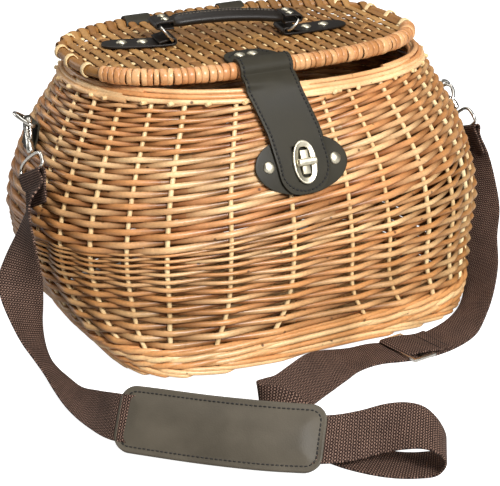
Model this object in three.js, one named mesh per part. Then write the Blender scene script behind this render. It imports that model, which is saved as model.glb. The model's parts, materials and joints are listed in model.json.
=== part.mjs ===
import * as THREE from 'three';

// Willow basket with a hinged oval lid, leather fittings and a webbing shoulder strap.
// Millimetres, +Z up, the front faces -Y, the origin is on the floor under the basket.

// Plan of the body at each height: half sizes, squareness of the oval, and shift towards the back.
const bodySections = [
  { height: 0, halfWidth: 168, halfDepth: 128, squareness: 4.6, setBack: -21 },
  { height: 46, halfWidth: 204, halfDepth: 142, squareness: 2.8, setBack: -7 },
  { height: 104, halfWidth: 218, halfDepth: 155, squareness: 2.42, setBack: 2 },
  { height: 162, halfWidth: 201, halfDepth: 145, squareness: 2.42, setBack: 6 },
  { height: 232, halfWidth: 164, halfDepth: 109, squareness: 2.15, setBack: 4 },
];
const mouthHeight = 232;
const mouthTilt = 0.02;
const wallThickness = 8;
const wallBottom = 9.3;
const wallTop = 222;
const wallLevels = 9;
const roundPoints = 56;
const gap = 0.3;
const wireSides = 8;

// Cross sections of the two rings of thick rods: distance outside the wall, and height.
const rimProfile = [
  { out: 0.4, height: 222.4 },
  { out: 1.6, height: 226 },
  { out: 1, height: 230.5 },
  { out: -2.5, height: 233 },
  { out: -7.5, height: 232.5 },
  { out: -9.5, height: 228 },
  { out: -8, height: 222.4 },
];
const footProfile = [
  { out: -1.5, height: 0 },
  { out: 1.5, height: 2.5 },
  { out: 2, height: 6.5 },
  { out: 0, height: 9 },
  { out: -9, height: 9 },
  { out: -11, height: 6 },
  { out: -11, height: 0 },
];
const basePanel = { inset: 11.4, thickness: 6 };

// Lid: an oval of bare rod, closely wound along the front, with a woven panel inside it.
const lid = { centreX: -8, centreY: 2, halfWidth: 157, halfDepth: 90, squareness: 2.75, height: 244 };
const lidRod = { radius: 4.5, points: 64, sides: 8 };
const lidWinding = { from: 203, to: 341, inner: 4.8, outer: 7.6, steps: 30 };
const lidPanel = { thickness: 5, inset: 5, insetAtWinding: 8.2, insetAtHinge: 11, points: 120 };
const lidPanelTop = lid.height + lidPanel.thickness / 2;

// Leather hinges: positions along the back rod, and the path of the tail below the loop.
const hinge = { places: { left: -68, right: 28 }, width: 25, thickness: 2, clear: 1.9, notch: 16 };
const hingeLoop = { from: -60, to: 230, steps: 12 };
const hingeTail = { heights: [231, 224, 212, 196], out: 4 };

// Carrying handle: a leather roll on two wire rings, each held by a riveted leather tab.
const handle = { centreX: -20, centreY: 1, turn: -8, barReach: 52, ringReach: 64, ringWidth: 26, wire: 1.5 };
const handleSides = {
  left: { sign: -1, ringTop: 265, tabTurn: -17.5, tabLength: 60 },
  right: { sign: 1, ringTop: 261, tabTurn: 2, tabLength: 64 },
};
const handleTab = { halfWidth: 13, thickness: 2, foldBack: 13, rivets: [24, 42], endRound: 16, endFlat: 0.35 };
const handleTabShares = [1, 0.93, 0.8, 0.5];
const handleLoopTurns = [-45, 0, 45, 90];
const handleGrip = { halfLength: 50, halfWidth: 10.5, halfHeight: 4.6, crown: 3, sides: 12, steps: 8 };
const handleEnd = { halfWidth: 12, thickness: 2, rivet: { radius: 3, rise: 1.4, across: 5.5 } };
const tabRivet = { radius: 4, rise: 1.8 };

// Leather closure on the front: a strap from the lid, an oval turn lock, and the patch under it.
const closure = { bottom: 148.5, lidEnd: -50, endRound: 22, endFlat: 0.3, halfWidth: 24.2, thickness: 2.4 };
const closureOnLid = { fromEnd: [0, 4, 10, 18], wrapTurns: [75, 105, 135, 165, 190] };
const closureRise = { fromRod: 12, lift: 2.2 };
const closureDrop = { fromRod: 17, fall: 7 };
const closureOnWall = { overRim: 2, rampTop: 212, rampHeight: 16 };
// The closure strap leans a little: sideways place of its middle at each height.
const closureLean = [
  { height: 148.5, x: -18.5 },
  { height: 172.5, x: -18 },
  { height: 199, x: -21.5 },
  { height: 232, x: -31 },
];
const closureRivets = { y: -63, radius: 4, rise: 1.8, places: { left: -39, right: -27 } };
const patch = {
  centreX: -18, centreHeight: 171, halfWidth: 42, halfHeight: 23, thickness: 2.2, squareness: 2.4,
};
const patchRivets = { height: 172, radius: 4.4, rise: 2.4, places: { left: -48.3, right: 12.3 } };
const lock = { x: -18, height: 172.5, slotWidth: 10, slotHeight: 24 };
const eyelet = { halfWidth: 11, halfHeight: 18.5, thickness: 2 };
const lockPost = { halfWidth: 3.6, halfHeight: 10 };
const button = { halfWidth: 8.5, halfHeight: 3.2, thickness: 5.5 };

// Leather tabs on the two ends, their rings, and the hooks of the shoulder strap.
const sideTab = {
  halfWidth: 12, thickness: 2, barOut: 8, wire: 1.8, ringHalf: 14.4, ringDrop: 17.4, ringSquare: 0.85,
};
const sideTabPath = [
  { down: 24, out: 1.4 },
  { down: 14, out: 1.4 },
  { down: 7, out: 2.5 },
  { down: 1, out: 4.6 },
  { down: -2.3, out: 5.6 },
  { down: -3.3, out: 8.2 },
  { down: -1.9, out: 10.8 },
  { down: 2, out: 11 },
  { down: 8, out: 7.8 },
  { down: 14, out: 4.4 },
  { down: 21, out: 3.9 },
];
const ends = {
  left: {
    angle: 176.8, height: 183, hang: [-0.72, 0, 0.5], seatTurn: 24,
    strapEnd: [-213.5, -22, 158.5], across: [0.15, -0.88, 0.45],
  },
  right: {
    angle: -0.4, height: 151.3, hang: [0.45, 0.1, 0.9], seatTurn: 62,
    strapEnd: [229, -18.5, 129], across: [0.05, 0.93, -0.36],
  },
};
// The hook's bent wire seen from the side: offset from its axis, distance along it, wire radius.
const hookPath = [
  { side: 0, along: 25.5, radius: 3.6 },
  { side: 0, along: 18, radius: 3.6 },
  { side: 1.8, along: 14.5, radius: 3.1 },
  { side: 5, along: 10, radius: 2.3 },
  { side: 6, along: 5, radius: 2.1 },
  { side: 6, along: 0, radius: 2 },
  { side: 4.3, along: -4.3, radius: 2 },
  { side: 0, along: -6, radius: 2 },
  { side: -4.3, along: -4.3, radius: 2 },
  { side: -6, along: 0, radius: 1.9 },
];
const hookSeat = 1.3;
const gate = { hingeSide: -3.4, hingeAlong: 14.6, tipSide: -6, tipAlong: 2.6, radius: 1.4 };
const swivel = { halfWidth: 21.5, top: 28, wire: 1.8, corner: 6, footCorner: 2 };

// Shoulder strap of flat webbing, centre and direction across the webbing at each place.
const webbing = { halfWidth: 19, thickness: 1.6 };
const strapLeft = [
  { at: [-220.5, -32, 136], across: [0.12, -0.94, 0.3] },
  { at: [-227, -38, 113], across: [0.28, -0.94, 0.18] },
  { at: [-234, -43, 89], across: [0.64, -0.76, 0.05] },
  { at: [-238, -48, 70], across: [0.94, -0.25, -0.2] },
  { at: [-238, -56, 44], across: [0.87, 0.3, -0.38] },
  { at: [-236, -67, 26], across: [0.72, 0.55, -0.42] },
  { at: [-233, -80, 15], across: [0.6, 0.68, -0.42] },
  { at: [-230.5, -93, 9.5], across: [0.58, 0.74, -0.34] },
  { at: [-229, -110, 6.5], across: [0.62, 0.75, -0.22] },
  { at: [-227.5, -136, 5.5], across: [0.66, 0.75, -0.05] },
  { at: [-224, -170, 10.5], across: [0.57, 0.74, 0.36] },
  { at: [-219.7, -209.35, 20.6], across: [0.44, 0.56, 0.68] },
];
const strapPad = [
  { at: [-219.3, -210, 21.5], across: [0.44, 0.56, 0.68] },
  { at: [-203, -227.3, 22.5], across: [0.43, 0.52, 0.73] },
  { at: [-166.6, -263, 23.5], across: [0.42, 0.5, 0.75] },
  { at: [-130, -292.5, 23.5], across: [0.42, 0.5, 0.75] },
  { at: [-95, -315, 23], across: [0.44, 0.56, 0.7] },
];
const pad = { halfWidth: 26.5, thickness: 7 };
const strapLoop = [
  { at: [-94.2, -315.4, 23], across: [0.44, 0.57, 0.69] },
  { at: [-73, -324.5, 25.5], across: [0.38, 0.54, 0.75] },
  { at: [-54, -333, 31], across: [0.38, 0.53, 0.75] },
  { at: [-41.5, -343, 35], across: [0.46, 0.63, 0.62] },
  { at: [-31, -352, 35], across: [0.5, 0.76, 0.42] },
  { at: [-23, -360, 29], across: [0.53, 0.83, 0.18] },
  { at: [-17, -361.5, 16.5], across: [0.55, 0.84, 0] },
  { at: [-20, -357, 5.5], across: [0.57, 0.82, 0] },
  { at: [-31, -350, 2], across: [0.6, 0.8, 0] },
  { at: [-49, -339, 1.5], across: [0.68, 0.73, 0] },
  { at: [-68, -317, 1.5], across: [0.81, 0.58, 0] },
  { at: [-81, -290, 1.5], across: [0.86, 0.5, 0] },
  { at: [-88, -276, 7], across: [0.85, 0.42, 0.3] },
  { at: [-95, -264, 14.4], across: [0.65, 0.3, 0.68] },
];
const strapFront = [
  { at: [-95.4, -263.4, 14.7], across: [0.65, 0.3, 0.68] },
  { at: [-102, -254, 19.4], across: [0.28, 0.15, 0.94] },
  { at: [-108.5, -246, 20.2], across: [0, 0, 1] },
  { at: [-111, -240.5, 20.2], across: [-0.09, 0, 0.99] },
  { at: [-107, -236.5, 20], across: [-0.2, 0.1, 0.97] },
  { at: [-97, -234.5, 19.3], across: [-0.3, 0.2, 0.93] },
  { at: [-81.8, -230.6, 17.7], across: [-0.41, 0.32, 0.85] },
  { at: [-64, -221, 16.6], across: [-0.38, 0.48, 0.79] },
  { at: [-47, -210, 15.2], across: [-0.34, 0.61, 0.72] },
  { at: [-21.7, -192.4, 10.3], across: [-0.39, 0.8, 0.45] },
  { at: [0.8, -179.5, 4.6], across: [-0.13, 0.98, 0.14] },
  { at: [19, -175.5, 2.2], across: [0, 1, 0] },
  { at: [36, -175, 1.6], across: [0.12, 0.99, 0] },
  { at: [52, -179, 1.3], across: [0.05, 0.99, 0] },
  { at: [78, -182, 1.3], across: [-0.25, 0.97, 0] },
  { at: [108, -175, 1.3], across: [-0.24, 0.97, 0] },
  { at: [130, -166, 2.6], across: [-0.2, 0.97, -0.05] },
  { at: [150, -152, 6.5], across: [-0.16, 0.95, -0.22] },
  { at: [169, -134, 12], across: [-0.12, 0.91, -0.38] },
  { at: [195, -102, 23], across: [-0.1, 0.9, -0.4] },
  { at: [214, -74, 39], across: [-0.03, 0.91, -0.4] },
  { at: [228, -56, 58], across: [0, 0.92, -0.38] },
  { at: [233, -40, 79], across: [0.02, 0.92, -0.36] },
  { at: [232.5, -27, 104], across: [0.04, 0.93, -0.36] },
];
const slider = { at: [64, -181, 2.5], turn: 8, halfLength: 24, halfWidth: 12, bar: 2.8, thickness: 2.4 };

const colours = {
  willow: 0xc8955a,
  leather: 0x3a3630,
  nickel: 0xb9b6ac,
  webbing: 0x4a3c34,
  padding: 0x66604f,
};

function vector(list) {
  return new THREE.Vector3(list[0], list[1], list[2]);
}

function signedPower(value, power) {
  return Math.sign(value) * Math.abs(value) ** power;
}

// Smooth change of one column of the section table with height.
function sectionValue(column, height) {
  const last = bodySections.length - 1;
  const slope = (index) => {
    const before = bodySections[Math.max(index - 1, 0)];
    const after = bodySections[Math.min(index + 1, last)];
    return (after[column] - before[column]) / (after.height - before.height);
  };
  const low = Math.min(bodySections.findLastIndex((section) => section.height <= height), last - 1);
  const start = bodySections[low];
  const finish = bodySections[low + 1];
  const span = finish.height - start.height;
  const part = (height - start.height) / span;
  const square = part * part;
  const cube = square * part;
  return (2 * cube - 3 * square + 1) * start[column] + (cube - 2 * square + part) * span * slope(low)
    + (3 * square - 2 * cube) * finish[column] + (cube - square) * span * slope(low + 1);
}

function sectionAt(height) {
  const level = Math.min(Math.max(height, 0), mouthHeight);
  return {
    halfWidth: sectionValue('halfWidth', level),
    halfDepth: sectionValue('halfDepth', level),
    squareness: sectionValue('squareness', level),
    setBack: sectionValue('setBack', level),
  };
}

// How far a point lies outside the oval at its height: 1 on the wall's outer face.
function wallField(point) {
  const section = sectionAt(point.z);
  return Math.abs(point.x / section.halfWidth) ** section.squareness
    + Math.abs((point.y - section.setBack) / section.halfDepth) ** section.squareness;
}

function wallNormal(point) {
  const step = 0.5;
  const slopeAlong = (offset) => wallField(point.clone().add(offset)) - wallField(point.clone().sub(offset));
  return new THREE.Vector3(
    slopeAlong(new THREE.Vector3(step, 0, 0)),
    slopeAlong(new THREE.Vector3(0, step, 0)),
    slopeAlong(new THREE.Vector3(0, 0, step)),
  ).normalize();
}

// The mouth drops a little towards the right.
function tilted(point) {
  const share = point.z / mouthHeight;
  return new THREE.Vector3(point.x, point.y, point.z - mouthTilt * point.x * share * share);
}

function ovalPoint(section, angle, height) {
  const power = 2 / section.squareness;
  return new THREE.Vector3(
    section.halfWidth * signedPower(Math.cos(angle), power),
    section.halfDepth * signedPower(Math.sin(angle), power) + section.setBack,
    height,
  );
}

function wallPoint(angle, height, out) {
  const point = ovalPoint(sectionAt(height), angle, height);
  return tilted(point.clone().addScaledVector(wallNormal(point), out));
}

function frontPoint(x, height, out) {
  const section = sectionAt(height);
  const share = Math.abs(x / section.halfWidth) ** section.squareness;
  const y = section.setBack - section.halfDepth * (1 - share) ** (1 / section.squareness);
  const point = new THREE.Vector3(x, y, height);
  const normal = wallNormal(point);
  return { at: tilted(point.clone().addScaledVector(normal, out)), normal };
}

// A level ring of points round the body, moved outwards in plan.
function bodyRing(height, out) {
  const points = [];
  for (let index = 0; index < roundPoints; index++) {
    const angle = (index + 0.5) / roundPoints * 2 * Math.PI;
    const point = ovalPoint(sectionAt(height), angle, Math.min(height, mouthHeight));
    const flat = wallNormal(point).setZ(0).normalize();
    point.addScaledVector(flat, out);
    point.z = height;
    points.push(tilted(point));
  }
  return points;
}

// A closed solid from points and triangles, turned to face outwards.
function solid(points, triangles) {
  let volume = 0;
  for (const [a, b, c] of triangles) {
    volume += points[a].dot(new THREE.Vector3().crossVectors(points[b], points[c]));
  }
  const faces = volume < 0 ? triangles.map(([a, b, c]) => [a, c, b]) : triangles;
  const geometry = new THREE.BufferGeometry();
  geometry.setAttribute('position', new THREE.Float32BufferAttribute(points.flatMap((p) => p.toArray()), 3));
  geometry.setIndex(faces.flat());
  geometry.computeVertexNormals();
  return geometry;
}

// Skin through equal rings: closed end to end, or with a flat face on each end.
function loft(rings, endToEnd) {
  const count = rings[0].length;
  const triangles = [];
  const spans = endToEnd ? rings.length : rings.length - 1;
  for (let row = 0; row < spans; row++) {
    const here = row * count;
    const next = ((row + 1) % rings.length) * count;
    for (let index = 0; index < count; index++) {
      const after = (index + 1) % count;
      triangles.push([here + index, here + after, next + after], [here + index, next + after, next + index]);
    }
  }
  if (!endToEnd) {
    const top = (rings.length - 1) * count;
    for (let index = 1; index < count - 1; index++) {
      triangles.push([0, index + 1, index], [top, top + index, top + index + 1]);
    }
  }
  return solid(rings.flat(), triangles);
}

function tangentAt(points, index, endToEnd) {
  const count = points.length;
  const before = endToEnd ? (index + count - 1) % count : Math.max(index - 1, 0);
  const after = endToEnd ? (index + 1) % count : Math.min(index + 1, count - 1);
  return points[after].clone().sub(points[before]).normalize();
}

// Circles of points along a path that keeps clear of the up direction.
function tubeRings(points, radius, sides, endToEnd, up) {
  return points.map((point, index) => {
    const tangent = tangentAt(points, index, endToEnd);
    const across = new THREE.Vector3().crossVectors(tangent, up).normalize();
    const lift = new THREE.Vector3().crossVectors(across, tangent);
    const size = Array.isArray(radius) ? radius[index] : radius;
    const ring = [];
    for (let side = 0; side < sides; side++) {
      const angle = (side + 0.5) / sides * 2 * Math.PI;
      const sideways = point.clone().addScaledVector(across, size * Math.cos(angle));
      ring.push(sideways.addScaledVector(lift, size * Math.sin(angle)));
    }
    return ring;
  });
}

// A closed ring of wire lying across one direction.
function closedWire(points, radius, normal) {
  return loft(tubeRings(points, radius, wireSides, true, normal), true);
}

// A flat strap: each station has a centre and a vector to one edge.
function ribbon(stations, thickness) {
  const centres = stations.map((station) => station.at);
  const rings = stations.map((station, index) => {
    const tangent = tangentAt(centres, index, false);
    const half = new THREE.Vector3().crossVectors(tangent, station.edge).setLength(thickness / 2);
    const left = station.at.clone().sub(station.edge);
    const right = station.at.clone().add(station.edge);
    return [left.clone().sub(half), right.clone().sub(half), right.clone().add(half), left.clone().add(half)];
  });
  return loft(rings, false);
}

// A domed rivet head standing on a surface.
function rivetHead(at, normal, size) {
  const sides = 10;
  const profile = [[1, 0], [1, 0.3], [0.75, 0.8], [0.3, 1]];
  const helper = Math.abs(normal.z) > 0.9 ? new THREE.Vector3(1, 0, 0) : new THREE.Vector3(0, 0, 1);
  const across = new THREE.Vector3().crossVectors(normal, helper).normalize();
  const rings = profile.map(([share, height]) => {
    const centre = at.clone().addScaledVector(normal, gap + height * size.rise);
    const ring = [];
    for (let side = 0; side < sides; side++) {
      const spoke = across.clone().applyAxisAngle(normal, side / sides * 2 * Math.PI);
      ring.push(centre.clone().addScaledVector(spoke, share * size.radius));
    }
    return ring;
  });
  return loft(rings, false);
}

// A flat plate with its outline in plan, and holes if it has any.
function plate(outline, low, high, holes) {
  const shape = new THREE.Shape(outline.map((point) => new THREE.Vector2(point.x, point.y)));
  for (const hole of holes) {
    shape.holes.push(new THREE.Path(hole.map((point) => new THREE.Vector2(point.x, point.y))));
  }
  const geometry = new THREE.ExtrudeGeometry(shape, { depth: high - low, bevelEnabled: false });
  return geometry.translate(0, 0, low);
}

function oval(halfWidth, halfHeight, count) {
  const points = [];
  for (let index = 0; index < count; index++) {
    const angle = index / count * 2 * Math.PI;
    points.push(new THREE.Vector2(halfWidth * Math.cos(angle), halfHeight * Math.sin(angle)));
  }
  return points;
}

function rectangle(halfWidth, halfHeight) {
  const corners = [[-1, -1], [1, -1], [1, 1], [-1, 1]];
  return corners.map(([x, y]) => new THREE.Vector2(x * halfWidth, y * halfHeight));
}

const basket = new THREE.Group();
basket.name = 'mushroom_basket';

function add(name, geometry, colour, metalness) {
  const material = new THREE.MeshStandardMaterial({ color: colour, metalness, roughness: 0.6 });
  const mesh = new THREE.Mesh(geometry, material);
  mesh.name = name;
  basket.add(mesh);
}

// Basket body
const wallStep = (wallTop - wallBottom) / wallLevels;
const wallHeights = Array.from({ length: wallLevels + 1 }, (_, level) => wallBottom + wallStep * level);
const wallOuter = wallHeights.map((height) => bodyRing(height, 0));
const wallInner = wallHeights.map((height) => bodyRing(height, -wallThickness)).reverse();
add('basket_wall', loft([...wallOuter, ...wallInner], true), colours.willow, 0);
add('rim_border', loft(rimProfile.map((row) => bodyRing(row.height, row.out)), true), colours.willow, 0);
add('foot_border', loft(footProfile.map((row) => bodyRing(row.height, row.out)), true), colours.willow, 0);
add('base_panel', plate(bodyRing(0, -basePanel.inset), 0, basePanel.thickness, []), colours.willow, 0);

// Lid
function lidPoint(angle, inset) {
  const point = ovalPoint({ ...lid, setBack: lid.centreY }, angle, lid.height);
  const slope = lid.squareness - 1;
  const inward = new THREE.Vector3(
    -signedPower(point.x / lid.halfWidth, slope) / lid.halfWidth,
    -signedPower((point.y - lid.centreY) / lid.halfDepth, slope) / lid.halfDepth,
    0,
  ).normalize();
  point.addScaledVector(inward, inset);
  point.x += lid.centreX;
  return point;
}

const upward = new THREE.Vector3(0, 0, 1);
const rodPath = Array.from({ length: lidRod.points }, (_, index) => {
  return lidPoint((index + 0.5) / lidRod.points * 2 * Math.PI, 0);
});
add('lid_frame', loft(tubeRings(rodPath, lidRod.radius, lidRod.sides, true, upward), true), colours.willow, 0);

const windingPath = Array.from({ length: lidWinding.steps + 1 }, (_, step) => {
  const degrees = lidWinding.from + (lidWinding.to - lidWinding.from) * step / lidWinding.steps;
  return lidPoint(degrees * Math.PI / 180, 0);
});
const windingOuter = tubeRings(windingPath, lidWinding.outer, lidRod.sides, false, upward);
const windingInner = tubeRings(windingPath, lidWinding.inner, lidRod.sides, false, upward).reverse();
add('lid_wrap', loft([...windingOuter, ...windingInner], true), colours.willow, 0);

function panelInset(angle) {
  const degrees = angle * 180 / Math.PI;
  const margin = 4;
  if (degrees > lidWinding.from - margin && degrees < lidWinding.to + margin) {
    return lidPanel.insetAtWinding;
  }
  const point = lidPoint(angle, 0);
  const atHinge = Object.values(hinge.places).some((place) => Math.abs(point.x - place) < hinge.notch);
  return atHinge && point.y > lid.centreY ? lidPanel.insetAtHinge : lidPanel.inset;
}
const panelOutline = Array.from({ length: lidPanel.points }, (_, index) => {
  const angle = (index + 0.5) / lidPanel.points * 2 * Math.PI;
  return lidPoint(angle, panelInset(angle));
});
add('lid_panel', plate(panelOutline, lid.height - lidPanel.thickness / 2, lidPanelTop, []), colours.willow, 0);

// Leather hinges: a loop round the back rod, with a tail down the back of the basket.
// The lid turns on the line through the rod's middle at the two hinges.
function backRod(x) {
  const share = Math.abs((x - lid.centreX) / lid.halfWidth) ** lid.squareness;
  return new THREE.Vector3(x, lid.centreY + lid.halfDepth * (1 - share) ** (1 / lid.squareness), lid.height);
}
const hingeLine = backRod(hinge.places.right).sub(backRod(hinge.places.left)).normalize();
for (const [side, place] of Object.entries(hinge.places)) {
  const rodY = backRod(place).y;
  const loopRadius = lidRod.radius + hinge.clear + hinge.thickness / 2;
  const edge = hingeLine.clone().multiplyScalar(hinge.width / 2);
  const stations = [];
  for (let step = hingeLoop.steps; step >= 0; step--) {
    const angle = (hingeLoop.from + (hingeLoop.to - hingeLoop.from) * step / hingeLoop.steps) * Math.PI / 180;
    const y = rodY + loopRadius * Math.cos(angle);
    const z = lid.height + loopRadius * Math.sin(angle);
    stations.push({ at: new THREE.Vector3(place, y, z), edge });
  }
  for (const height of hingeTail.heights) {
    const front = frontPoint(place, height, 0).at;
    const section = sectionAt(height);
    const back = new THREE.Vector3(place, 2 * section.setBack - front.y, height);
    const normal = wallNormal(back);
    const along = new THREE.Vector3(normal.y, -normal.x, 0).normalize().multiplyScalar(hinge.width / 2);
    stations.push({ at: tilted(back.addScaledVector(normal, hingeTail.out)), edge: along });
  }
  add(`hinge_strap_${side}`, ribbon(stations, hinge.thickness), colours.leather, 0);
}

// Carrying handle
const handleAxis = new THREE.Vector3(1, 0, 0).applyAxisAngle(upward, handle.turn * Math.PI / 180);
const handleAcross = new THREE.Vector3(0, 1, 0).applyAxisAngle(upward, handle.turn * Math.PI / 180);
const handleCentre = new THREE.Vector3(handle.centreX, handle.centreY, 0);
const tabLevel = lidPanelTop + gap + handleTab.thickness / 2;
const barLevel = tabLevel + handleTab.thickness / 2 + gap + handle.wire;

function handleSpot(reach, height) {
  return handleCentre.clone().addScaledVector(handleAxis, reach).setZ(height);
}

for (const [side, facts] of Object.entries(handleSides)) {
  const bar = handleSpot(facts.sign * handle.barReach, barLevel);
  const atRing = handleAxis.clone().multiplyScalar(facts.sign);
  const outward = new THREE.Vector3(facts.sign, 0, 0).applyAxisAngle(upward, facts.tabTurn * Math.PI / 180);
  const across = new THREE.Vector3(-outward.y, outward.x, 0).multiplyScalar(facts.sign);
  const tabSpot = (reach) => {
    const straight = Math.min(reach, handleTab.foldBack);
    return bar.clone().addScaledVector(atRing, straight).addScaledVector(outward, reach - straight);
  };
  const wrap = handle.wire + gap + handleTab.thickness / 2;
  const rows = [];
  for (const share of handleTabShares) {
    const fromTip = facts.tabLength * (1 - share);
    const round = Math.min(fromTip / handleTab.endRound, 1);
    const width = handleTab.endFlat + (1 - handleTab.endFlat) * Math.sqrt(round * (2 - round));
    rows.push({ reach: facts.tabLength * share, lift: 0, width });
  }
  rows.push({ reach: handleTab.foldBack, lift: 0, width: 1 }, { reach: 0, lift: 0, width: 1 });
  for (const degrees of handleLoopTurns) {
    const angle = degrees * Math.PI / 180;
    rows.push({ reach: -wrap * Math.cos(angle), lift: barLevel - tabLevel + wrap * Math.sin(angle), width: 1 });
  }
  const layer = handleTab.thickness + 2 * gap;
  rows.push({ reach: handleTab.foldBack / 2, lift: layer + handle.wire, width: 1 });
  rows.push({ reach: handleTab.foldBack, lift: layer, width: 1 });
  const stations = rows.map((row) => {
    const way = row.reach > handleTab.foldBack ? across : handleAcross;
    return {
      at: tabSpot(row.reach).setZ(tabLevel + row.lift),
      edge: way.clone().multiplyScalar(handleTab.halfWidth * row.width),
    };
  });
  add(`handle_tab_${side}`, ribbon(stations, handleTab.thickness), colours.leather, 0);
  handleTab.rivets.forEach((reach, index) => {
    const at = tabSpot(reach).setZ(tabLevel + handleTab.thickness / 2);
    add(`tab_rivet_${side}_${index + 1}`, rivetHead(at, upward, tabRivet), colours.nickel, 1);
  });

  const top = handleSpot(facts.sign * handle.ringReach, facts.ringTop);
  const rise = top.clone().sub(bar);
  const ringNormal = new THREE.Vector3().crossVectors(rise, handleAcross).normalize();
  const ringHalf = handle.ringWidth / 2 + 2 * handle.wire;
  const corner = 2 * handle.wire;
  const ringOutline = [
    [-ringHalf + corner, 0], [ringHalf - corner, 0], [ringHalf, corner], [ringHalf, rise.length() - corner],
    [ringHalf - corner, rise.length()], [-ringHalf + corner, rise.length()],
    [-ringHalf, rise.length() - corner], [-ringHalf, corner],
  ];
  const riseAxis = rise.clone().normalize();
  const ringPath = ringOutline.map(([along, up]) => {
    return bar.clone().addScaledVector(handleAcross, along).addScaledVector(riseAxis, up);
  });
  add(`handle_ring_${side}`, closedWire(ringPath, handle.wire, ringNormal), colours.nickel, 1);

  // Leather end of the grip, folded round the ring's upper bar.
  const inward = handleAxis.clone().multiplyScalar(-facts.sign);
  const endWrap = handle.wire + 2 * gap + handleEnd.thickness / 2;
  const endReach = handle.ringReach - handleGrip.halfLength - 2 * gap;
  const endRows = [{ reach: endReach, lift: -endWrap }, { reach: 1, lift: -endWrap }];
  for (const degrees of handleLoopTurns.slice(0, -1)) {
    const angle = degrees * Math.PI / 180;
    endRows.push({ reach: -endWrap * Math.cos(angle), lift: endWrap * Math.sin(angle) });
  }
  endRows.push({ reach: 1, lift: endWrap }, { reach: endReach, lift: endWrap });
  const endStations = endRows.map((row) => ({
    at: top.clone().addScaledVector(inward, row.reach).add(new THREE.Vector3(0, 0, row.lift)),
    edge: handleAcross.clone().multiplyScalar(handleEnd.halfWidth),
  }));
  add(`handle_end_${side}`, ribbon(endStations, handleEnd.thickness), colours.leather, 0);
  [-1, 1].forEach((way, index) => {
    const at = top.clone().addScaledVector(inward, endReach / 2);
    at.addScaledVector(handleAcross, way * handleEnd.rivet.across);
    at.z += endWrap + handleEnd.thickness / 2;
    add(`end_rivet_${side}_${index + 1}`, rivetHead(at, upward, handleEnd.rivet), colours.nickel, 1);
  });
}

const gripRings = Array.from({ length: handleGrip.steps + 1 }, (_, step) => {
  const share = 2 * step / handleGrip.steps - 1;
  const level = THREE.MathUtils.lerp(handleSides.left.ringTop, handleSides.right.ringTop, (share + 1) / 2);
  const centre = handleSpot(share * handleGrip.halfLength, level + handleGrip.crown * (1 - share * share));
  const ring = [];
  for (let index = 0; index < handleGrip.sides; index++) {
    const angle = index / handleGrip.sides * 2 * Math.PI;
    const lift = new THREE.Vector3(0, 0, handleGrip.halfHeight * Math.sin(angle));
    ring.push(centre.clone().addScaledVector(handleAcross, handleGrip.halfWidth * Math.cos(angle)).add(lift));
  }
  return ring;
});
add('handle_grip', loft(gripRings, false), colours.leather, 0);

// Leather patch on the front of the wall, under the closure strap.
function frontAcross(normal) {
  return new THREE.Vector3(-normal.y, normal.x, 0).normalize();
}
const patchCount = 28;
const patchShares = [0.02, 0.5, 1];
const patchRing = (share, out) => Array.from({ length: patchCount }, (_, index) => {
  const angle = index / patchCount * 2 * Math.PI;
  const power = 2 / patch.squareness;
  const x = patch.centreX + share * patch.halfWidth * signedPower(Math.cos(angle), power);
  const height = patch.centreHeight + share * patch.halfHeight * signedPower(Math.sin(angle), power);
  return frontPoint(x, height, out).at;
});
const patchInner = patchShares.map((share) => patchRing(share, gap));
const patchOuter = patchShares.map((share) => patchRing(share, gap + patch.thickness)).reverse();
add('keeper_patch', loft([...patchInner, ...patchOuter], false), colours.leather, 0);
for (const [side, x] of Object.entries(patchRivets.places)) {
  const spot = frontPoint(x, patchRivets.height, gap + patch.thickness);
  add(`patch_rivet_${side}`, rivetHead(spot.at, spot.normal, patchRivets), colours.nickel, 1);
}

// Closure strap: over the lid's front edge and down the wall, with a slot for the lock.
function strapX(height) {
  const upper = Math.max(closureLean.findIndex((row) => row.height >= height), 1);
  const low = closureLean[upper - 1];
  const high = closureLean[upper];
  return low.x + (high.x - low.x) * (height - low.height) / (high.height - low.height);
}
const strapOnPatch = gap + patch.thickness + 2 * gap + closure.thickness / 2;
const strapOnWall = gap + closure.thickness / 2 + closureOnWall.overRim;
function strapOut(height) {
  const share = Math.min(Math.max((closureOnWall.rampTop - height) / closureOnWall.rampHeight, 0), 1);
  return strapOnWall + (strapOnPatch - strapOnWall) * share;
}
function endWidth(fromEnd) {
  const share = Math.min(fromEnd / closure.endRound, 1);
  return closure.endFlat + (1 - closure.endFlat) * Math.sqrt(share * (2 - share));
}
const frontRodY = lid.centreY - lid.halfDepth;
const strapOverLid = lidPanelTop + gap + closure.thickness / 2;
const windingWrap = lidWinding.outer + 2 * gap + closure.thickness / 2;
const closureRows = [];
for (const fromEnd of closureOnLid.fromEnd) {
  closureRows.push({ y: closure.lidEnd - fromEnd, z: strapOverLid, width: endWidth(fromEnd) });
}
closureRows.push({ y: frontRodY + closureRise.fromRod, z: strapOverLid + closureRise.lift, width: 1 });
for (const degrees of closureOnLid.wrapTurns) {
  const angle = degrees * Math.PI / 180;
  const y = frontRodY + windingWrap * Math.cos(angle);
  closureRows.push({ y, z: lid.height + windingWrap * Math.sin(angle), width: 1 });
}
closureRows.push({ y: frontRodY - closureDrop.fromRod, z: lid.height - closureDrop.fall, width: 1 });
const closureStations = closureRows.map((row) => ({
  at: new THREE.Vector3(strapX(mouthHeight), row.y, row.z),
  edge: new THREE.Vector3(closure.halfWidth * row.width, 0, 0),
}));
const slotTop = lock.height + lock.slotHeight / 2;
const slotBottom = lock.height - lock.slotHeight / 2;
const closureHeights = [229, 220, 208, 196, slotTop, lock.height, slotBottom, 156, 152, 149.5, closure.bottom];
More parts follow.
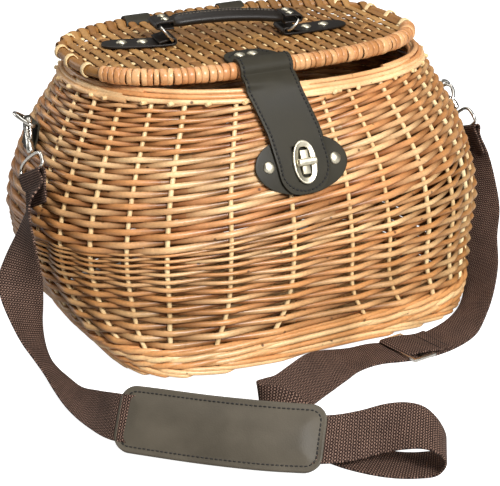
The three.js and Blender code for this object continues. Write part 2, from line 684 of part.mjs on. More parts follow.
for (const height of closureHeights) {
  const spot = frontPoint(strapX(height), height, strapOut(height));
  const width = closure.halfWidth * endWidth(height - closure.bottom);
  closureStations.push({ at: spot.at, edge: frontAcross(spot.normal).multiplyScalar(width), height });
}

// The strap as a grid of points on two faces, with the slot's cells left out.
function slottedStrap(stations, thickness) {
  const centres = stations.map((station) => station.at);
  const slotShare = lock.slotWidth / 2 / closure.halfWidth;
  const shares = [-1, -0.6, -slotShare, slotShare, 0.6, 1];
  const wide = shares.length;
  const points = [];
  const face = stations.length * wide;
  for (const way of [-1, 1]) {
    stations.forEach((station, index) => {
      const tangent = tangentAt(centres, index, false);
      const half = new THREE.Vector3().crossVectors(tangent, station.edge).setLength(way * thickness / 2);
      for (const share of shares) {
        points.push(station.at.clone().addScaledVector(station.edge, share).add(half));
      }
    });
  }
  const slotColumn = 2;
  const filled = (row, column) => {
    if (row < 0 || column < 0 || row >= stations.length - 1 || column >= wide - 1) {
      return false;
    }
    const inSlot = stations[row].height <= slotTop && stations[row + 1].height >= slotBottom;
    return !(inSlot && column === slotColumn);
  };
  const triangles = [];
  const wall = (from, to) => triangles.push([from, to, to + face], [from, to + face, from + face]);
  for (let row = 0; row < stations.length - 1; row++) {
    for (let column = 0; column < wide - 1; column++) {
      if (filled(row, column)) {
        const a = row * wide + column;
        const b = a + 1;
        const c = a + wide + 1;
        const d = a + wide;
        triangles.push([a, c, b], [a, d, c], [a + face, b + face, c + face], [a + face, c + face, d + face]);
        if (!filled(row - 1, column)) {
          wall(a, b);
        }
        if (!filled(row, column + 1)) {
          wall(b, c);
        }
        if (!filled(row + 1, column)) {
          wall(c, d);
        }
        if (!filled(row, column - 1)) {
          wall(d, a);
        }
      }
    }
  }
  return solid(points, triangles);
}
add('closure_strap', slottedStrap(closureStations, closure.thickness), colours.leather, 0);
for (const [side, x] of Object.entries(closureRivets.places)) {
  const at = new THREE.Vector3(x, closureRivets.y, strapOverLid + closure.thickness / 2);
  add(`closure_rivet_${side}`, rivetHead(at, upward, closureRivets), colours.nickel, 1);
}

// Turn lock: its pieces are made lying in plan, then stood on the front of the strap.
const lockSpot = frontPoint(lock.x, lock.height, 0);
const lockFrame = new THREE.Matrix4().makeBasis(
  frontAcross(lockSpot.normal),
  new THREE.Vector3().crossVectors(lockSpot.normal, frontAcross(lockSpot.normal)),
  lockSpot.normal,
).setPosition(lockSpot.at);
const strapFace = strapOnPatch + closure.thickness / 2;
const eyeletLow = strapFace + 2 * gap;
const eyeletHigh = eyeletLow + eyelet.thickness;
const slotHole = rectangle(lock.slotWidth / 2, lock.slotHeight / 2 - 2 * gap);
const eyeletPlate = plate(oval(eyelet.halfWidth, eyelet.halfHeight, 24), eyeletLow, eyeletHigh, [slotHole]);
add('lock_eyelet', eyeletPlate.applyMatrix4(lockFrame), colours.nickel, 1);
const postLow = gap + patch.thickness + gap;
const postHigh = eyeletHigh + gap;
const postBlock = plate(rectangle(lockPost.halfWidth, lockPost.halfHeight), postLow, postHigh, []);
add('lock_base', postBlock.applyMatrix4(lockFrame), colours.nickel, 1);
const buttonLow = postHigh + gap;
const buttonHigh = buttonLow + button.thickness;
const buttonBlock = plate(rectangle(button.halfWidth, button.halfHeight), buttonLow, buttonHigh, []);
add('turn_button', buttonBlock.applyMatrix4(lockFrame), colours.nickel, 1);

// Side tabs with their rings, and the hooks and swivel loops of the strap.
const strapStarts = {};
for (const [side, facts] of Object.entries(ends)) {
  const angle = facts.angle * Math.PI / 180;
  const foot = wallPoint(angle, facts.height, 0);
  const normal = wallNormal(foot);
  const level = new THREE.Vector3(-normal.y, normal.x, 0).normalize();
  const down = new THREE.Vector3().crossVectors(level, normal);
  if (down.z > 0) {
    down.negate();
  }
  const stations = sideTabPath.map((row) => ({
    at: wallPoint(angle, facts.height + row.down * down.z, row.out),
    edge: level.clone().multiplyScalar(sideTab.halfWidth),
  }));
  add(`side_tab_${side}`, ribbon(stations, sideTab.thickness), colours.leather, 0);

  const bar = foot.clone().addScaledVector(normal, sideTab.barOut);
  const hangWay = vector(facts.hang);
  const hang = hangWay.addScaledVector(level, -hangWay.dot(level)).normalize();
  const ringNormal = new THREE.Vector3().crossVectors(level, hang);
  const arcSteps = 12;
  const ringSpot = (turn) => {
    const drop = sideTab.ringDrop * Math.max(Math.sin(turn), 0) ** sideTab.ringSquare;
    return bar.clone().addScaledVector(level, sideTab.ringHalf * Math.cos(turn)).addScaledVector(hang, drop);
  };
  const ringPath = Array.from({ length: arcSteps + 1 }, (_, step) => ringSpot(Math.PI * step / arcSteps));
  add(`d_ring_${side}`, closedWire(ringPath, sideTab.wire, ringNormal), colours.nickel, 1);

  const seatTurn = facts.seatTurn * Math.PI / 180;
  const seat = ringSpot(seatTurn);
  const nearby = 0.1;
  const seatWire = ringSpot(seatTurn - nearby).sub(ringSpot(seatTurn + nearby)).normalize();
  const strapEnd = vector(facts.strapEnd);
  const axis = strapEnd.clone().sub(seat).normalize();
  const flank = new THREE.Vector3().crossVectors(seatWire, axis).normalize();
  const hookNormal = new THREE.Vector3().crossVectors(axis, flank);
  const bow = seat.clone().addScaledVector(axis, hookSeat);
  const hookSpot = (row) => bow.clone().addScaledVector(flank, row.side).addScaledVector(axis, row.along);
  const hookRadii = hookPath.map((row) => row.radius);
  const hookRings = tubeRings(hookPath.map(hookSpot), hookRadii, wireSides, false, hookNormal);
  add(`snap_hook_${side}`, loft(hookRings, false), colours.nickel, 1);
  const gatePath = [
    hookSpot({ side: gate.hingeSide, along: gate.hingeAlong }),
    hookSpot({ side: gate.tipSide, along: gate.tipAlong }),
  ];
  const gateRings = tubeRings(gatePath, gate.radius, wireSides, false, hookNormal);
  add(`hook_gate_${side}`, loft(gateRings, false), colours.nickel, 1);

  const wide = vector(facts.across);
  wide.addScaledVector(axis, -wide.dot(axis)).normalize();
  const loopNormal = new THREE.Vector3().crossVectors(axis, wide);
  const strapStart = strapEnd.clone().addScaledVector(axis, swivel.wire + 2 * gap);
  strapStarts[side] = { at: strapStart, edge: wide.clone().multiplyScalar(webbing.halfWidth) };
  const low = strapEnd.clone().sub(bow).dot(axis);
  const half = swivel.halfWidth;
  const loopOutline = [
    [-half + swivel.corner, swivel.top], [half - swivel.corner, swivel.top], [half, swivel.top + swivel.corner],
    [half, low - swivel.footCorner], [half - swivel.footCorner, low], [-half + swivel.footCorner, low],
    [-half, low - swivel.footCorner], [-half, swivel.top + swivel.corner],
  ];
  const loopPath = loopOutline.map(([across, along]) => {
    return bow.clone().addScaledVector(wide, across).addScaledVector(axis, along);
  });
  add(`swivel_loop_${side}`, closedWire(loopPath, swivel.wire, loopNormal), colours.nickel, 1);
}

// Shoulder strap
function strapStations(table, halfWidth) {
  return table.map((row) => ({ at: vector(row.at), edge: vector(row.across).setLength(halfWidth) }));
}
const leftStations = [strapStarts.left, ...strapStations(strapLeft, webbing.halfWidth)];
add('webbing_left', ribbon(leftStations, webbing.thickness), colours.webbing, 0);
add('webbing_loop', ribbon(strapStations(strapLoop, webbing.halfWidth), webbing.thickness), colours.webbing, 0);
const frontStations = [...strapStations(strapFront, webbing.halfWidth), strapStarts.right];
add('webbing_front', ribbon(frontStations, webbing.thickness), colours.webbing, 0);
add('shoulder_pad', ribbon(strapStations(strapPad, pad.halfWidth), pad.thickness), colours.padding, 0);
function placedSlider(geometry) {
  return geometry.rotateZ(slider.turn * Math.PI / 180).translate(slider.at[0], slider.at[1], slider.at[2]);
}
const sliderWindow = rectangle(slider.halfWidth - slider.bar, slider.halfLength - slider.bar);
const sliderFrame = plate(rectangle(slider.halfWidth, slider.halfLength), 0, slider.thickness, [sliderWindow]);
add('strap_slider', placedSlider(sliderFrame), colours.nickel, 1);
const sliderBar = rectangle(slider.bar / 2, slider.halfLength - slider.bar - gap);
add('slider_bar', placedSlider(plate(sliderBar, 0, slider.thickness, [])), colours.nickel, 1);

export default basket;
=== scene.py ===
import json
import math

import bmesh
import bpy
import numpy as np
from mathutils import Matrix, Vector

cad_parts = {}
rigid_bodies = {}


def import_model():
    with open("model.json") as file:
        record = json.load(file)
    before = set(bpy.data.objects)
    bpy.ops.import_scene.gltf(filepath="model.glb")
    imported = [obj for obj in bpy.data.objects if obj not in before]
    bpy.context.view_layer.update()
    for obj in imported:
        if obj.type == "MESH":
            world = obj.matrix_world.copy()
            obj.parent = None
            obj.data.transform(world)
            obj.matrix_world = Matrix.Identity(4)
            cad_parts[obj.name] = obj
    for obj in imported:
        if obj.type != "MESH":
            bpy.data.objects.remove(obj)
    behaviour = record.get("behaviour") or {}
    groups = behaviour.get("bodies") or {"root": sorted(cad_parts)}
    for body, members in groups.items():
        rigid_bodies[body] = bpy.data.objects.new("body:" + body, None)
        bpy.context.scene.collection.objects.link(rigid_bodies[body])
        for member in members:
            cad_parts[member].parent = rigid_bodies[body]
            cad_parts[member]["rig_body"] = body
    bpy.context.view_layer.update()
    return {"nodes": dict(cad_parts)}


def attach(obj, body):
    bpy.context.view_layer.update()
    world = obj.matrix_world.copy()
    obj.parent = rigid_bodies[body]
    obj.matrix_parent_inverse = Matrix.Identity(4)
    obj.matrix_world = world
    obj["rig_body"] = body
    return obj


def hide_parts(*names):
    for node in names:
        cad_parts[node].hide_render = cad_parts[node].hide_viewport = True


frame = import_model()
cadNodes = frame["nodes"]
scene = bpy.context.scene
dice = np.random.default_rng(11)  # one seed for every rod's own thickness, tone and drift
mm = 0.001

# camera at the photograph's angle
view = {
    "place": (-0.6198, -1.2165, 0.6242), "pitch": 67.06, "yaw": -27.11, "lens": 114.3, "sensor": 36,
    "reach": 20,
}


def setCamera():
    lens = bpy.data.cameras.new("camera")
    lens.lens = view["lens"]
    lens.sensor_width = view["sensor"]
    lens.clip_end = view["reach"]
    camera = bpy.data.objects.new("camera", lens)
    camera.location = view["place"]
    camera.rotation_euler = (math.radians(view["pitch"]), 0, math.radians(view["yaw"]))
    scene.collection.objects.link(camera)
    scene.camera = camera


setCamera()
print("camera set")


# small helpers for shader and geometry nodes
def addNode(tree, kind, inputs=None, **settings):
    node = tree.nodes.new(kind)
    for key, value in settings.items():
        setattr(node, key, value)
    for key, value in (inputs or {}).items():
        if isinstance(value, bpy.types.NodeSocket):
            tree.links.new(value, node.inputs[key])
        else:
            node.inputs[key].default_value = value
    return node


def tint(red, green, blue):
    return tuple((c / 255) ** 2.2 for c in (red, green, blue)) + (1.0,)


def addRamp(tree, factor, stops):
    ramp = addNode(tree, "ShaderNodeValToRGB", {"Fac": factor})
    elements = ramp.color_ramp.elements
    while len(elements) < len(stops):
        elements.new(0.5)
    for element, (spot, colour) in zip(elements, stops):
        element.position = spot
        element.color = colour
    return ramp.outputs["Color"]


def mixColour(tree, factor, first, second, blend="MIX"):
    values = {0: factor, 6: first, 7: second}
    return addNode(tree, "ShaderNodeMix", values, data_type="RGBA", blend_type=blend).outputs[2]


def mathNode(tree, operation, first, second=0.0):
    return addNode(tree, "ShaderNodeMath", {0: first, 1: second}, operation=operation).outputs[0]


def vectorMath(tree, operation, first, second):
    return addNode(tree, "ShaderNodeVectorMath", {0: first, 1: second}, operation=operation)


def mapRange(tree, value, low, high, toLow=0.0, toHigh=1.0):
    limits = {0: value, 1: low, 2: high, 3: toLow, 4: toHigh}
    return addNode(tree, "ShaderNodeMapRange", limits).outputs[0]


def addNoise(tree, place, scale, detail):
    values = {"Vector": place, "Scale": scale, "Detail": detail}
    return addNode(tree, "ShaderNodeTexNoise", values).outputs["Fac"]


def readAttribute(tree, name):
    return addNode(tree, "ShaderNodeAttribute", attribute_name=name).outputs["Fac"]


def objectPlace(tree):
    return addNode(tree, "ShaderNodeTexCoord").outputs["Object"]


def newMaterial(name, **values):
    material = bpy.data.materials.new(name)
    material.use_nodes = True
    tree = material.node_tree
    shader = tree.nodes["Principled BSDF"]
    for key, value in values.items():
        shader.inputs[key].default_value = value
    return material, tree, shader


def newGroup(name, inputs, outputs):
    group = bpy.data.node_groups.new(name, "ShaderNodeTree")
    for label, kind, value in inputs:
        socket = group.interface.new_socket(label, in_out="INPUT", socket_type="NodeSocket" + kind)
        socket.default_value = value
    for label, kind in outputs:
        group.interface.new_socket(label, in_out="OUTPUT", socket_type="NodeSocket" + kind)
    return group, addNode(group, "NodeGroupInput"), addNode(group, "NodeGroupOutput")


def addBump(tree, shader, height, strength, distance):
    bump = addNode(tree, "ShaderNodeBump", {"Height": height, "Strength": strength, "Distance": distance})
    tree.links.new(bump.outputs["Normal"], shader.inputs["Normal"])


# a material that takes its colour, roughness and relief from one of the shared groups
def groupMaterial(name, group, values, sockets, relief, **settings):
    material, tree, shader = newMaterial(name, **settings)
    node = addNode(tree, "ShaderNodeGroup", values, node_tree=group)
    for output, socket in sockets.items():
        tree.links.new(node.outputs[output], shader.inputs[socket])
    addBump(tree, shader, node.outputs["Height"], *relief)
    return material


# willow: each rod has its own tone, slow change along its length, fine grain and small knots, with painted
# shade towards the flanks and where a rod goes in behind a stake
willow = {
    "toneShift": 37.0, "driftScale": 22.0, "fineScale": 420.0, "broadScale": 26.0, "knotScale": 55.0,
    "toneShare": 0.62, "driftShare": 0.5, "flankShadeShare": 0.62, "knot": tint(86, 56, 34),
    "dusk": tint(144, 122, 102), "white": tint(255, 255, 255), "relief": (0.25, 0.0005),
}


def willowGroup():
    group, source, result = newGroup(
        "willowRod",
        [("Pale", "Color", tint(240, 205, 145)), ("Warm", "Color", tint(216, 152, 92)),
         ("Olive", "Color", tint(178, 132, 70)), ("Knots", "Float", 1.0)],
        [("Colour", "Color"), ("Height", "Float")])
    tone, along, lit, aged = (readAttribute(group, name) for name in ("tone", "along", "lit", "aged"))
    place = objectPlace(group)
    lane = {0: mathNode(group, "MULTIPLY", along, willow["driftScale"]),
            1: mathNode(group, "MULTIPLY", tone, willow["toneShift"])}
    drift = addNoise(group, addNode(group, "ShaderNodeCombineXYZ", lane).outputs[0], 1.0, 2.0)
    fine = addNoise(group, place, willow["fineScale"], 3.0)
    broad = addNoise(group, place, willow["broadScale"], 1.0)
    mood = mathNode(group, "ADD", mathNode(group, "MULTIPLY", tone, willow["toneShare"]),
                    mathNode(group, "MULTIPLY", drift, willow["driftShare"]))
    paleToWarm = mapRange(group, mood, 0.22, 0.72)
    colour = mixColour(group, paleToWarm, source.outputs["Pale"], source.outputs["Warm"])
    # olive from random broad patches of tone, and painted shade that turns the flanks darker olive
    oliveAndFlankShade = mathNode(group, "MAXIMUM", mapRange(group, broad, 0.45, 0.75, 0.0, 0.6),
                          mathNode(group, "MULTIPLY", aged, willow["flankShadeShare"]))
    colour = mixColour(group, oliveAndFlankShade, colour, source.outputs["Olive"])
    colour = mixColour(group, 1.0, colour, mapRange(group, fine, 0.3, 0.7, 0.86, 1.1), "MULTIPLY")
    dusk = addRamp(group, lit, [(0.0, willow["dusk"]), (1.0, willow["white"])])  # painted shade: darker where a rod goes in behind a stake
    colour = mixColour(group, 1.0, colour, dusk, "MULTIPLY")
    spots = addNode(group, "ShaderNodeTexVoronoi", {"Vector": place, "Scale": willow["knotScale"]})
    knot = mapRange(group, spots.outputs["Distance"], 0.1, 0.05)
    knot = mathNode(group, "MULTIPLY", knot, source.outputs["Knots"])
    colour = mixColour(group, knot, colour, willow["knot"])
    group.links.new(colour, result.inputs["Colour"])
    group.links.new(mathNode(group, "SUBTRACT", fine, knot), result.inputs["Height"])
    return group


willowRod = willowGroup()


def willowMaterial(name, pale, warm, olive, knots, roughness):
    values = {"Pale": tint(*pale), "Warm": tint(*warm), "Olive": tint(*olive), "Knots": knots}
    return groupMaterial(name, willowRod, values, {"Colour": "Base Color"}, willow["relief"],
                         Roughness=roughness)


wallWillow = willowMaterial("wallWillow", (242, 204, 152), (214, 150, 96), (150, 104, 58), 0.9, 0.36)
lowWillow = willowMaterial("lowWillow", (240, 202, 148), (210, 148, 92), (142, 98, 52), 0.9, 0.36)
stakeWillow = willowMaterial("stakeWillow", (240, 218, 170), (226, 190, 136), (198, 160, 104), 0.3, 0.45)
lidWillow = willowMaterial("lidWillow", (175, 130, 75), (135, 91, 44), (106, 74, 36), 0.4, 0.64)
hoopWillow = willowMaterial("hoopWillow", (170, 122, 66), (146, 100, 52), (120, 86, 42), 0.5, 0.42)
windWillow = willowMaterial("windWillow", (224, 174, 122), (192, 132, 84), (158, 108, 62), 0.2, 0.34)

# leather and vinyl: fine pebbled grain, rubbed edges, a slow change of tone
leather = {"cloudScale": 34.0, "rub": 0.7, "coatRoughness": 0.3, "relief": (0.18, 0.0003)}


def leatherGroup():
    group, source, result = newGroup(
        "leatherGrain",
        [("Colour", "Color", tint(60, 54, 46)), ("Worn", "Color", tint(120, 108, 92)),
         ("Pebble", "Float", 900.0)],
        [("Colour", "Color"), ("Rough", "Float"), ("Height", "Float")])
    place = objectPlace(group)
    pebble = addNode(group, "ShaderNodeTexVoronoi", {"Vector": place, "Scale": source.outputs["Pebble"]})
    cloud = addNoise(group, place, leather["cloudScale"], 4.0)
    edge = addNode(group, "ShaderNodeNewGeometry").outputs["Pointiness"]
    rub = mathNode(group, "MULTIPLY", mapRange(group, edge, 0.54, 0.62), leather["rub"])
    shade = mapRange(group, cloud, 0.3, 0.7, 0.82, 1.16)
    colour = mixColour(group, 1.0, source.outputs["Colour"], shade, "MULTIPLY")
    colour = mixColour(group, rub, colour, source.outputs["Worn"])
    group.links.new(colour, result.inputs["Colour"])
    group.links.new(mapRange(group, cloud, 0.3, 0.7, 0.42, 0.58), result.inputs["Rough"])
    group.links.new(pebble.outputs["Distance"], result.inputs["Height"])
    return group


leatherGrain = leatherGroup()


def leatherMaterial(name, colour, worn, pebble, coat, gloss):
    values = {"Colour": tint(*colour), "Worn": tint(*worn), "Pebble": pebble}
    settings = {"Coat Weight": coat, "Coat Roughness": leather["coatRoughness"], "Specular IOR Level": gloss}
    return groupMaterial(name, leatherGrain, values, {"Colour": "Base Color", "Rough": "Roughness"},
                         leather["relief"], **settings)


strapLeather = leatherMaterial("strapLeather", (52, 49, 41), (108, 101, 88), 1100.0, 0.0, 0.16)
handleLeather = leatherMaterial("handleLeather", (30, 25, 20), (92, 80, 66), 900.0, 0.1, 0.3)
padLeather = leatherMaterial("padLeather", (81, 75, 65), (124, 118, 104), 700.0, 0.0, 0.16)

# nickel: bright plate with fine scratches and a little tarnish in the hollows
nickel = {"cloudScale": 160.0, "scratchScale": 1400.0, "tarnish": 0.5, "relief": (0.05, 0.0002)}


def nickelGroup():
    group, source, result = newGroup(
        "nickelWear",
        [("Bright", "Color", tint(214, 208, 196)), ("Dull", "Color", tint(120, 112, 98)),
         ("Soften", "Float", 0.0)],
        [("Colour", "Color"), ("Rough", "Float"), ("Height", "Float")])
    place = objectPlace(group)
    cloud = addNoise(group, place, nickel["cloudScale"], 4.0)
    scratch = addNoise(group, place, nickel["scratchScale"], 2.0)
    hollow = addNode(group, "ShaderNodeNewGeometry").outputs["Pointiness"]
    cloudy = mathNode(group, "MULTIPLY", mapRange(group, cloud, 0.5, 0.75), nickel["tarnish"])
    share = mathNode(group, "MAXIMUM", mapRange(group, hollow, 0.5, 0.42), cloudy)
    colour = mixColour(group, share, source.outputs["Bright"], source.outputs["Dull"])
    rough = mathNode(group, "ADD", mapRange(group, cloud, 0.3, 0.7, 0.16, 0.34), source.outputs["Soften"])
    group.links.new(colour, result.inputs["Colour"])
    group.links.new(rough, result.inputs["Rough"])
    group.links.new(scratch, result.inputs["Height"])
    return group


nickelWear = nickelGroup()


def nickelMaterial(name, bright, dull, soften):
    values = {"Bright": tint(*bright), "Dull": tint(*dull), "Soften": soften}
    return groupMaterial(name, nickelWear, values, {"Colour": "Base Color", "Rough": "Roughness"},
                         nickel["relief"], Metallic=1.0)


brightNickel = nickelMaterial("brightNickel", (226, 222, 212), (140, 132, 118), 0.0)
plateNickel = nickelMaterial("plateNickel", (228, 220, 196), (150, 140, 116), 0.16)
darkNickel = nickelMaterial("darkNickel", (92, 86, 78), (48, 43, 37), 0.0)

# webbing: ribs across a flat weave, read from the ribbon's own map in metres
webbing = {
    "checkScale": 800.0, "ribScale": 160.0, "cloudScale": 60.0, "dark": tint(38, 26, 21),
    "light": tint(136, 109, 95), "roughness": 0.85, "gloss": 0.2, "relief": (0.5, 0.0004),
}


def webbingMaterial():
    material, tree, shader = newMaterial("strapWebbing", Roughness=webbing["roughness"],
                                         **{"Specular IOR Level": webbing["gloss"]})
    place = addNode(tree, "ShaderNodeUVMap", uv_map="weave").outputs[0]
    check = addNode(tree, "ShaderNodeTexChecker", {"Vector": place, "Scale": webbing["checkScale"]})
    ribs = {"Vector": place, "Scale": webbing["ribScale"], "Distortion": 0.6, "Detail": 1.0}
    wave = addNode(tree, "ShaderNodeTexWave", ribs, bands_direction="X")
    thread = mathNode(tree, "MULTIPLY", check.outputs["Fac"], wave.outputs["Fac"])
    colour = mixColour(tree, thread, webbing["dark"], webbing["light"])
    shade = mapRange(tree, addNoise(tree, place, webbing["cloudScale"], 3.0), 0.3, 0.7, 0.85, 1.15)
    colour = mixColour(tree, 1.0, colour, shade, "MULTIPLY")
    tree.links.new(colour, shader.inputs["Base Color"])
    addBump(tree, shader, thread, *webbing["relief"])
    return material


strapWebbing = webbingMaterial()
sewing = {"plyScale": 420.0, "roughness": 0.7}


def threadMaterial(name, colour, light):
    material, tree, shader = newMaterial(name, Roughness=sewing["roughness"])
    lane = addNode(tree, "ShaderNodeCombineXYZ", {0: readAttribute(tree, "along")}).outputs[0]
    ply = addNode(tree, "ShaderNodeTexWave", {"Vector": lane, "Scale": sewing["plyScale"]})
    twist = mixColour(tree, ply.outputs["Fac"], tint(*colour), tint(*light))
    tree.links.new(twist, shader.inputs["Base Color"])
    return material


darkThread = threadMaterial("darkThread", (12, 11, 10), (30, 27, 24))
paleThread = threadMaterial("paleThread", (70, 62, 52), (112, 102, 88))
print("materials made")


def keepPiece(name, mesh, material, body, replaced=()):
    piece = bpy.data.objects.new(name, mesh)
    scene.collection.objects.link(piece)
    mesh.materials.clear()
    mesh.materials.append(material)
    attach(piece, body)
    if replaced:
        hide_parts(*replaced)
    return piece


def keepMesh(net, name):
    for face in net.faces:
        face.smooth = True
    mesh = bpy.data.meshes.new(name)
    net.to_mesh(mesh)
    net.free()
    return mesh


# lines of points: length along them, reading between them, unit vectors, a smooth curve through stations
def runAlong(points, power=1.0):
    return np.concatenate([[0], np.cumsum(np.linalg.norm(np.diff(points, axis=0), axis=1) ** power)])


def readLine(where, run, points):
    return np.stack([np.interp(where, run, column) for column in points.T], -1)


def unitRows(rows):
    return rows / np.linalg.norm(rows, axis=-1, keepdims=True)


def signedPower(value, power):
    return np.sign(value) * np.abs(value) ** power


def easeBetween(part, span, start, startSlope, finish, finishSlope):
    square, cube = part ** 2, part ** 3
    return ((2 * cube - 3 * square + 1) * start + (cube - 2 * square + part) * span * startSlope
            + (3 * square - 2 * cube) * finish + (cube - square) * span * finishSlope)


def smoothLine(points, count):
    points = np.asarray(points, float)
    spots = runAlong(points[:, :3], 0.5)
    slopes = np.gradient(points, spots, axis=0)
    where = np.linspace(0, spots[-1], count)
    low = np.clip(np.searchsorted(spots, where, "right") - 1, 0, len(spots) - 2)
    span = (spots[low + 1] - spots[low])[:, None]
    part = (where - spots[low])[:, None] / span
    return easeBetween(part, span, points[low], slopes[low], points[low + 1], slopes[low + 1])


# rods, strips and stitches: lines that carry girth, tone and length, swept round by nodes, kept as a mesh
def sweepNodes(name, sides, flat):
    tree = bpy.data.node_groups.new(name, "GeometryNodeTree")
    for way in ("INPUT", "OUTPUT"):
        tree.interface.new_socket("Geometry", in_out=way, socket_type="NodeSocketGeometry")

    def named(label, kind):
        node = addNode(tree, "GeometryNodeInputNamedAttribute", {"Name": label}, data_type=kind)
        return node.outputs[0]

    source = addNode(tree, "NodeGroupInput")
    lines = addNode(tree, "GeometryNodeMeshToCurve", {"Mesh": source.outputs[0]}).outputs[0]
    if flat < 1:
        turned = {"Curve": lines, "Normal": named("facing", "FLOAT_VECTOR")}
        lines = addNode(tree, "GeometryNodeSetCurveNormal", turned, mode="FREE").outputs[0]
    ring = addNode(tree, "GeometryNodeCurvePrimitiveCircle", {"Resolution": sides, "Radius": 1.0})
    section = addNode(tree, "GeometryNodeTransform", {"Geometry": ring.outputs[0], "Scale": (flat, 1, 1)})
    swept = addNode(tree, "GeometryNodeCurveToMesh", {
        "Curve": lines, "Profile Curve": section.outputs[0], "Scale": named("girth", "FLOAT"),
        "Fill Caps": True})
    smooth = addNode(tree, "GeometryNodeSetShadeSmooth", {"Geometry": swept.outputs[0]})
    addNode(tree, "NodeGroupOutput", {0: smooth.outputs[0]})
    return tree


sweeps = {"rod": sweepNodes("rodSweep", 8, 1.0), "strip": sweepNodes("stripSweep", 10, 0.3),
          "thread": sweepNodes("threadSweep", 5, 1.0)}


def rod(line, radius, tone=0.5, closed=False, facing=(0, 0, 1), lit=1.0, aged=0.0):
    return {"line": np.asarray(line, float) * mm, "girth": np.asarray(radius, float) * mm, "tone": tone,
            "closed": closed, "facing": facing, "lit": lit, "aged": aged}


def layRods(name, rods, sweep, material, body, replaced=()):
    points, edges, facing = [], [], []
    values = {"girth": [], "tone": [], "along": [], "lit": [], "aged": []}
    for item in rods:
        line = item["line"]
        first, count = len(points), len(line)
        points.extend(line.tolist())
        edges.extend((first + k, first + k + 1) for k in range(count - 1))
        if item["closed"]:
            edges.append((first + count - 1, first))
        for label in ("girth", "tone", "lit", "aged"):
            values[label].extend(np.broadcast_to(item[label], count))
        values["along"].extend(runAlong(line))
        facing.extend(np.broadcast_to(item["facing"], (count, 3)))
    lines = bpy.data.meshes.new(name)
    lines.from_pydata(points, edges, [])
    for label, numbers in values.items():
        store = lines.attributes.new(label, "FLOAT", "POINT")
        store.data.foreach_set("value", np.asarray(numbers, np.float32))
    turned = lines.attributes.new("facing", "FLOAT_VECTOR", "POINT")
    turned.data.foreach_set("vector", np.asarray(facing, np.float32).ravel())
    helper = bpy.data.objects.new(name + "Lines", lines)
    scene.collection.objects.link(helper)
    helper.modifiers.new("sweep", "NODES").node_group = sweeps[sweep]
    solid = bpy.data.meshes.new_from_object(helper.evaluated_get(bpy.context.evaluated_depsgraph_get()))
    bpy.data.objects.remove(helper)
    solid.name = name
    return keepPiece(name, solid, material, body, replaced)


# flat pieces: a grid laid along a route, with a thickness and softened edges
def gridMesh(name, along, across, place, hole=None):
    net = bmesh.new()
    net.loops.layers.uv.new("weave")
    bmesh.ops.create_grid(net, x_segments=along, y_segments=across, size=1.0, calc_uvs=True)
    if hole:
        cut = [face for face in net.faces if hole(*face.calc_center_median()[:2])]
        bmesh.ops.delete(net, geom=cut, context="FACES")
    for vert in net.verts:
        vert.co = Vector(place(vert.co.x, vert.co.y)) * mm
    return keepMesh(net, name)


def thicken(piece, thickness, bevel):
    solidify = piece.modifiers.new("thickness", "SOLIDIFY")
    solidify.thickness = thickness * mm
    solidify.offset = 0
    soft = piece.modifiers.new("softEdge", "BEVEL")
    soft.width = bevel * mm
    soft.segments = 2
    soft.profile = 0.5
    soft.limit_method = "ANGLE"
    return piece


# a ribbon: stations of place, direction across and half width, evened out along the route
class Ribbon:
    def __init__(self, stations, rows):
        fine = smoothLine(stations, 8 * rows)
        run = runAlong(fine[:, :3])
        self.length = run[-1]
        self.spots = np.linspace(0, self.length, rows + 1)
        self.table = readLine(self.spots, run, fine)
        tangent = unitRows(np.gradient(self.table[:, :3], axis=0))
        self.across = unitRows(self.table[:, 3:6])
        self.normal = unitRows(np.cross(self.across, tangent))

    def at(self, run, side, lift=0.0):
        place = readLine(run, self.spots, self.table)
        across = unitRows(readLine(run, self.spots, self.across))
        normal = unitRows(readLine(run, self.spots, self.normal))
        return place[:3] + across * (side * place[6]) + normal * lift

    def width(self, run):
        return np.interp(run, self.spots, self.table[:, 6])


def ribbonMesh(name, ribbon, columns, hole=None):
    rows = len(ribbon.spots) - 1
    return gridMesh(name, rows, columns, lambda u, v: ribbon.at((u + 1) / 2 * ribbon.length, v), hole)


def stitchLine(points, pitch, length, radius):
    points = np.asarray(points, float)
    run = runAlong(points)
    stitches = []
    for start in np.arange(0, run[-1] - length, pitch):
        where = start + np.array([0, 0.2, 0.8, 1]) * length
        stitches.append(rod(readLine(where, run, points), np.array([0.55, 1, 1, 0.55]) * radius))
    return stitches


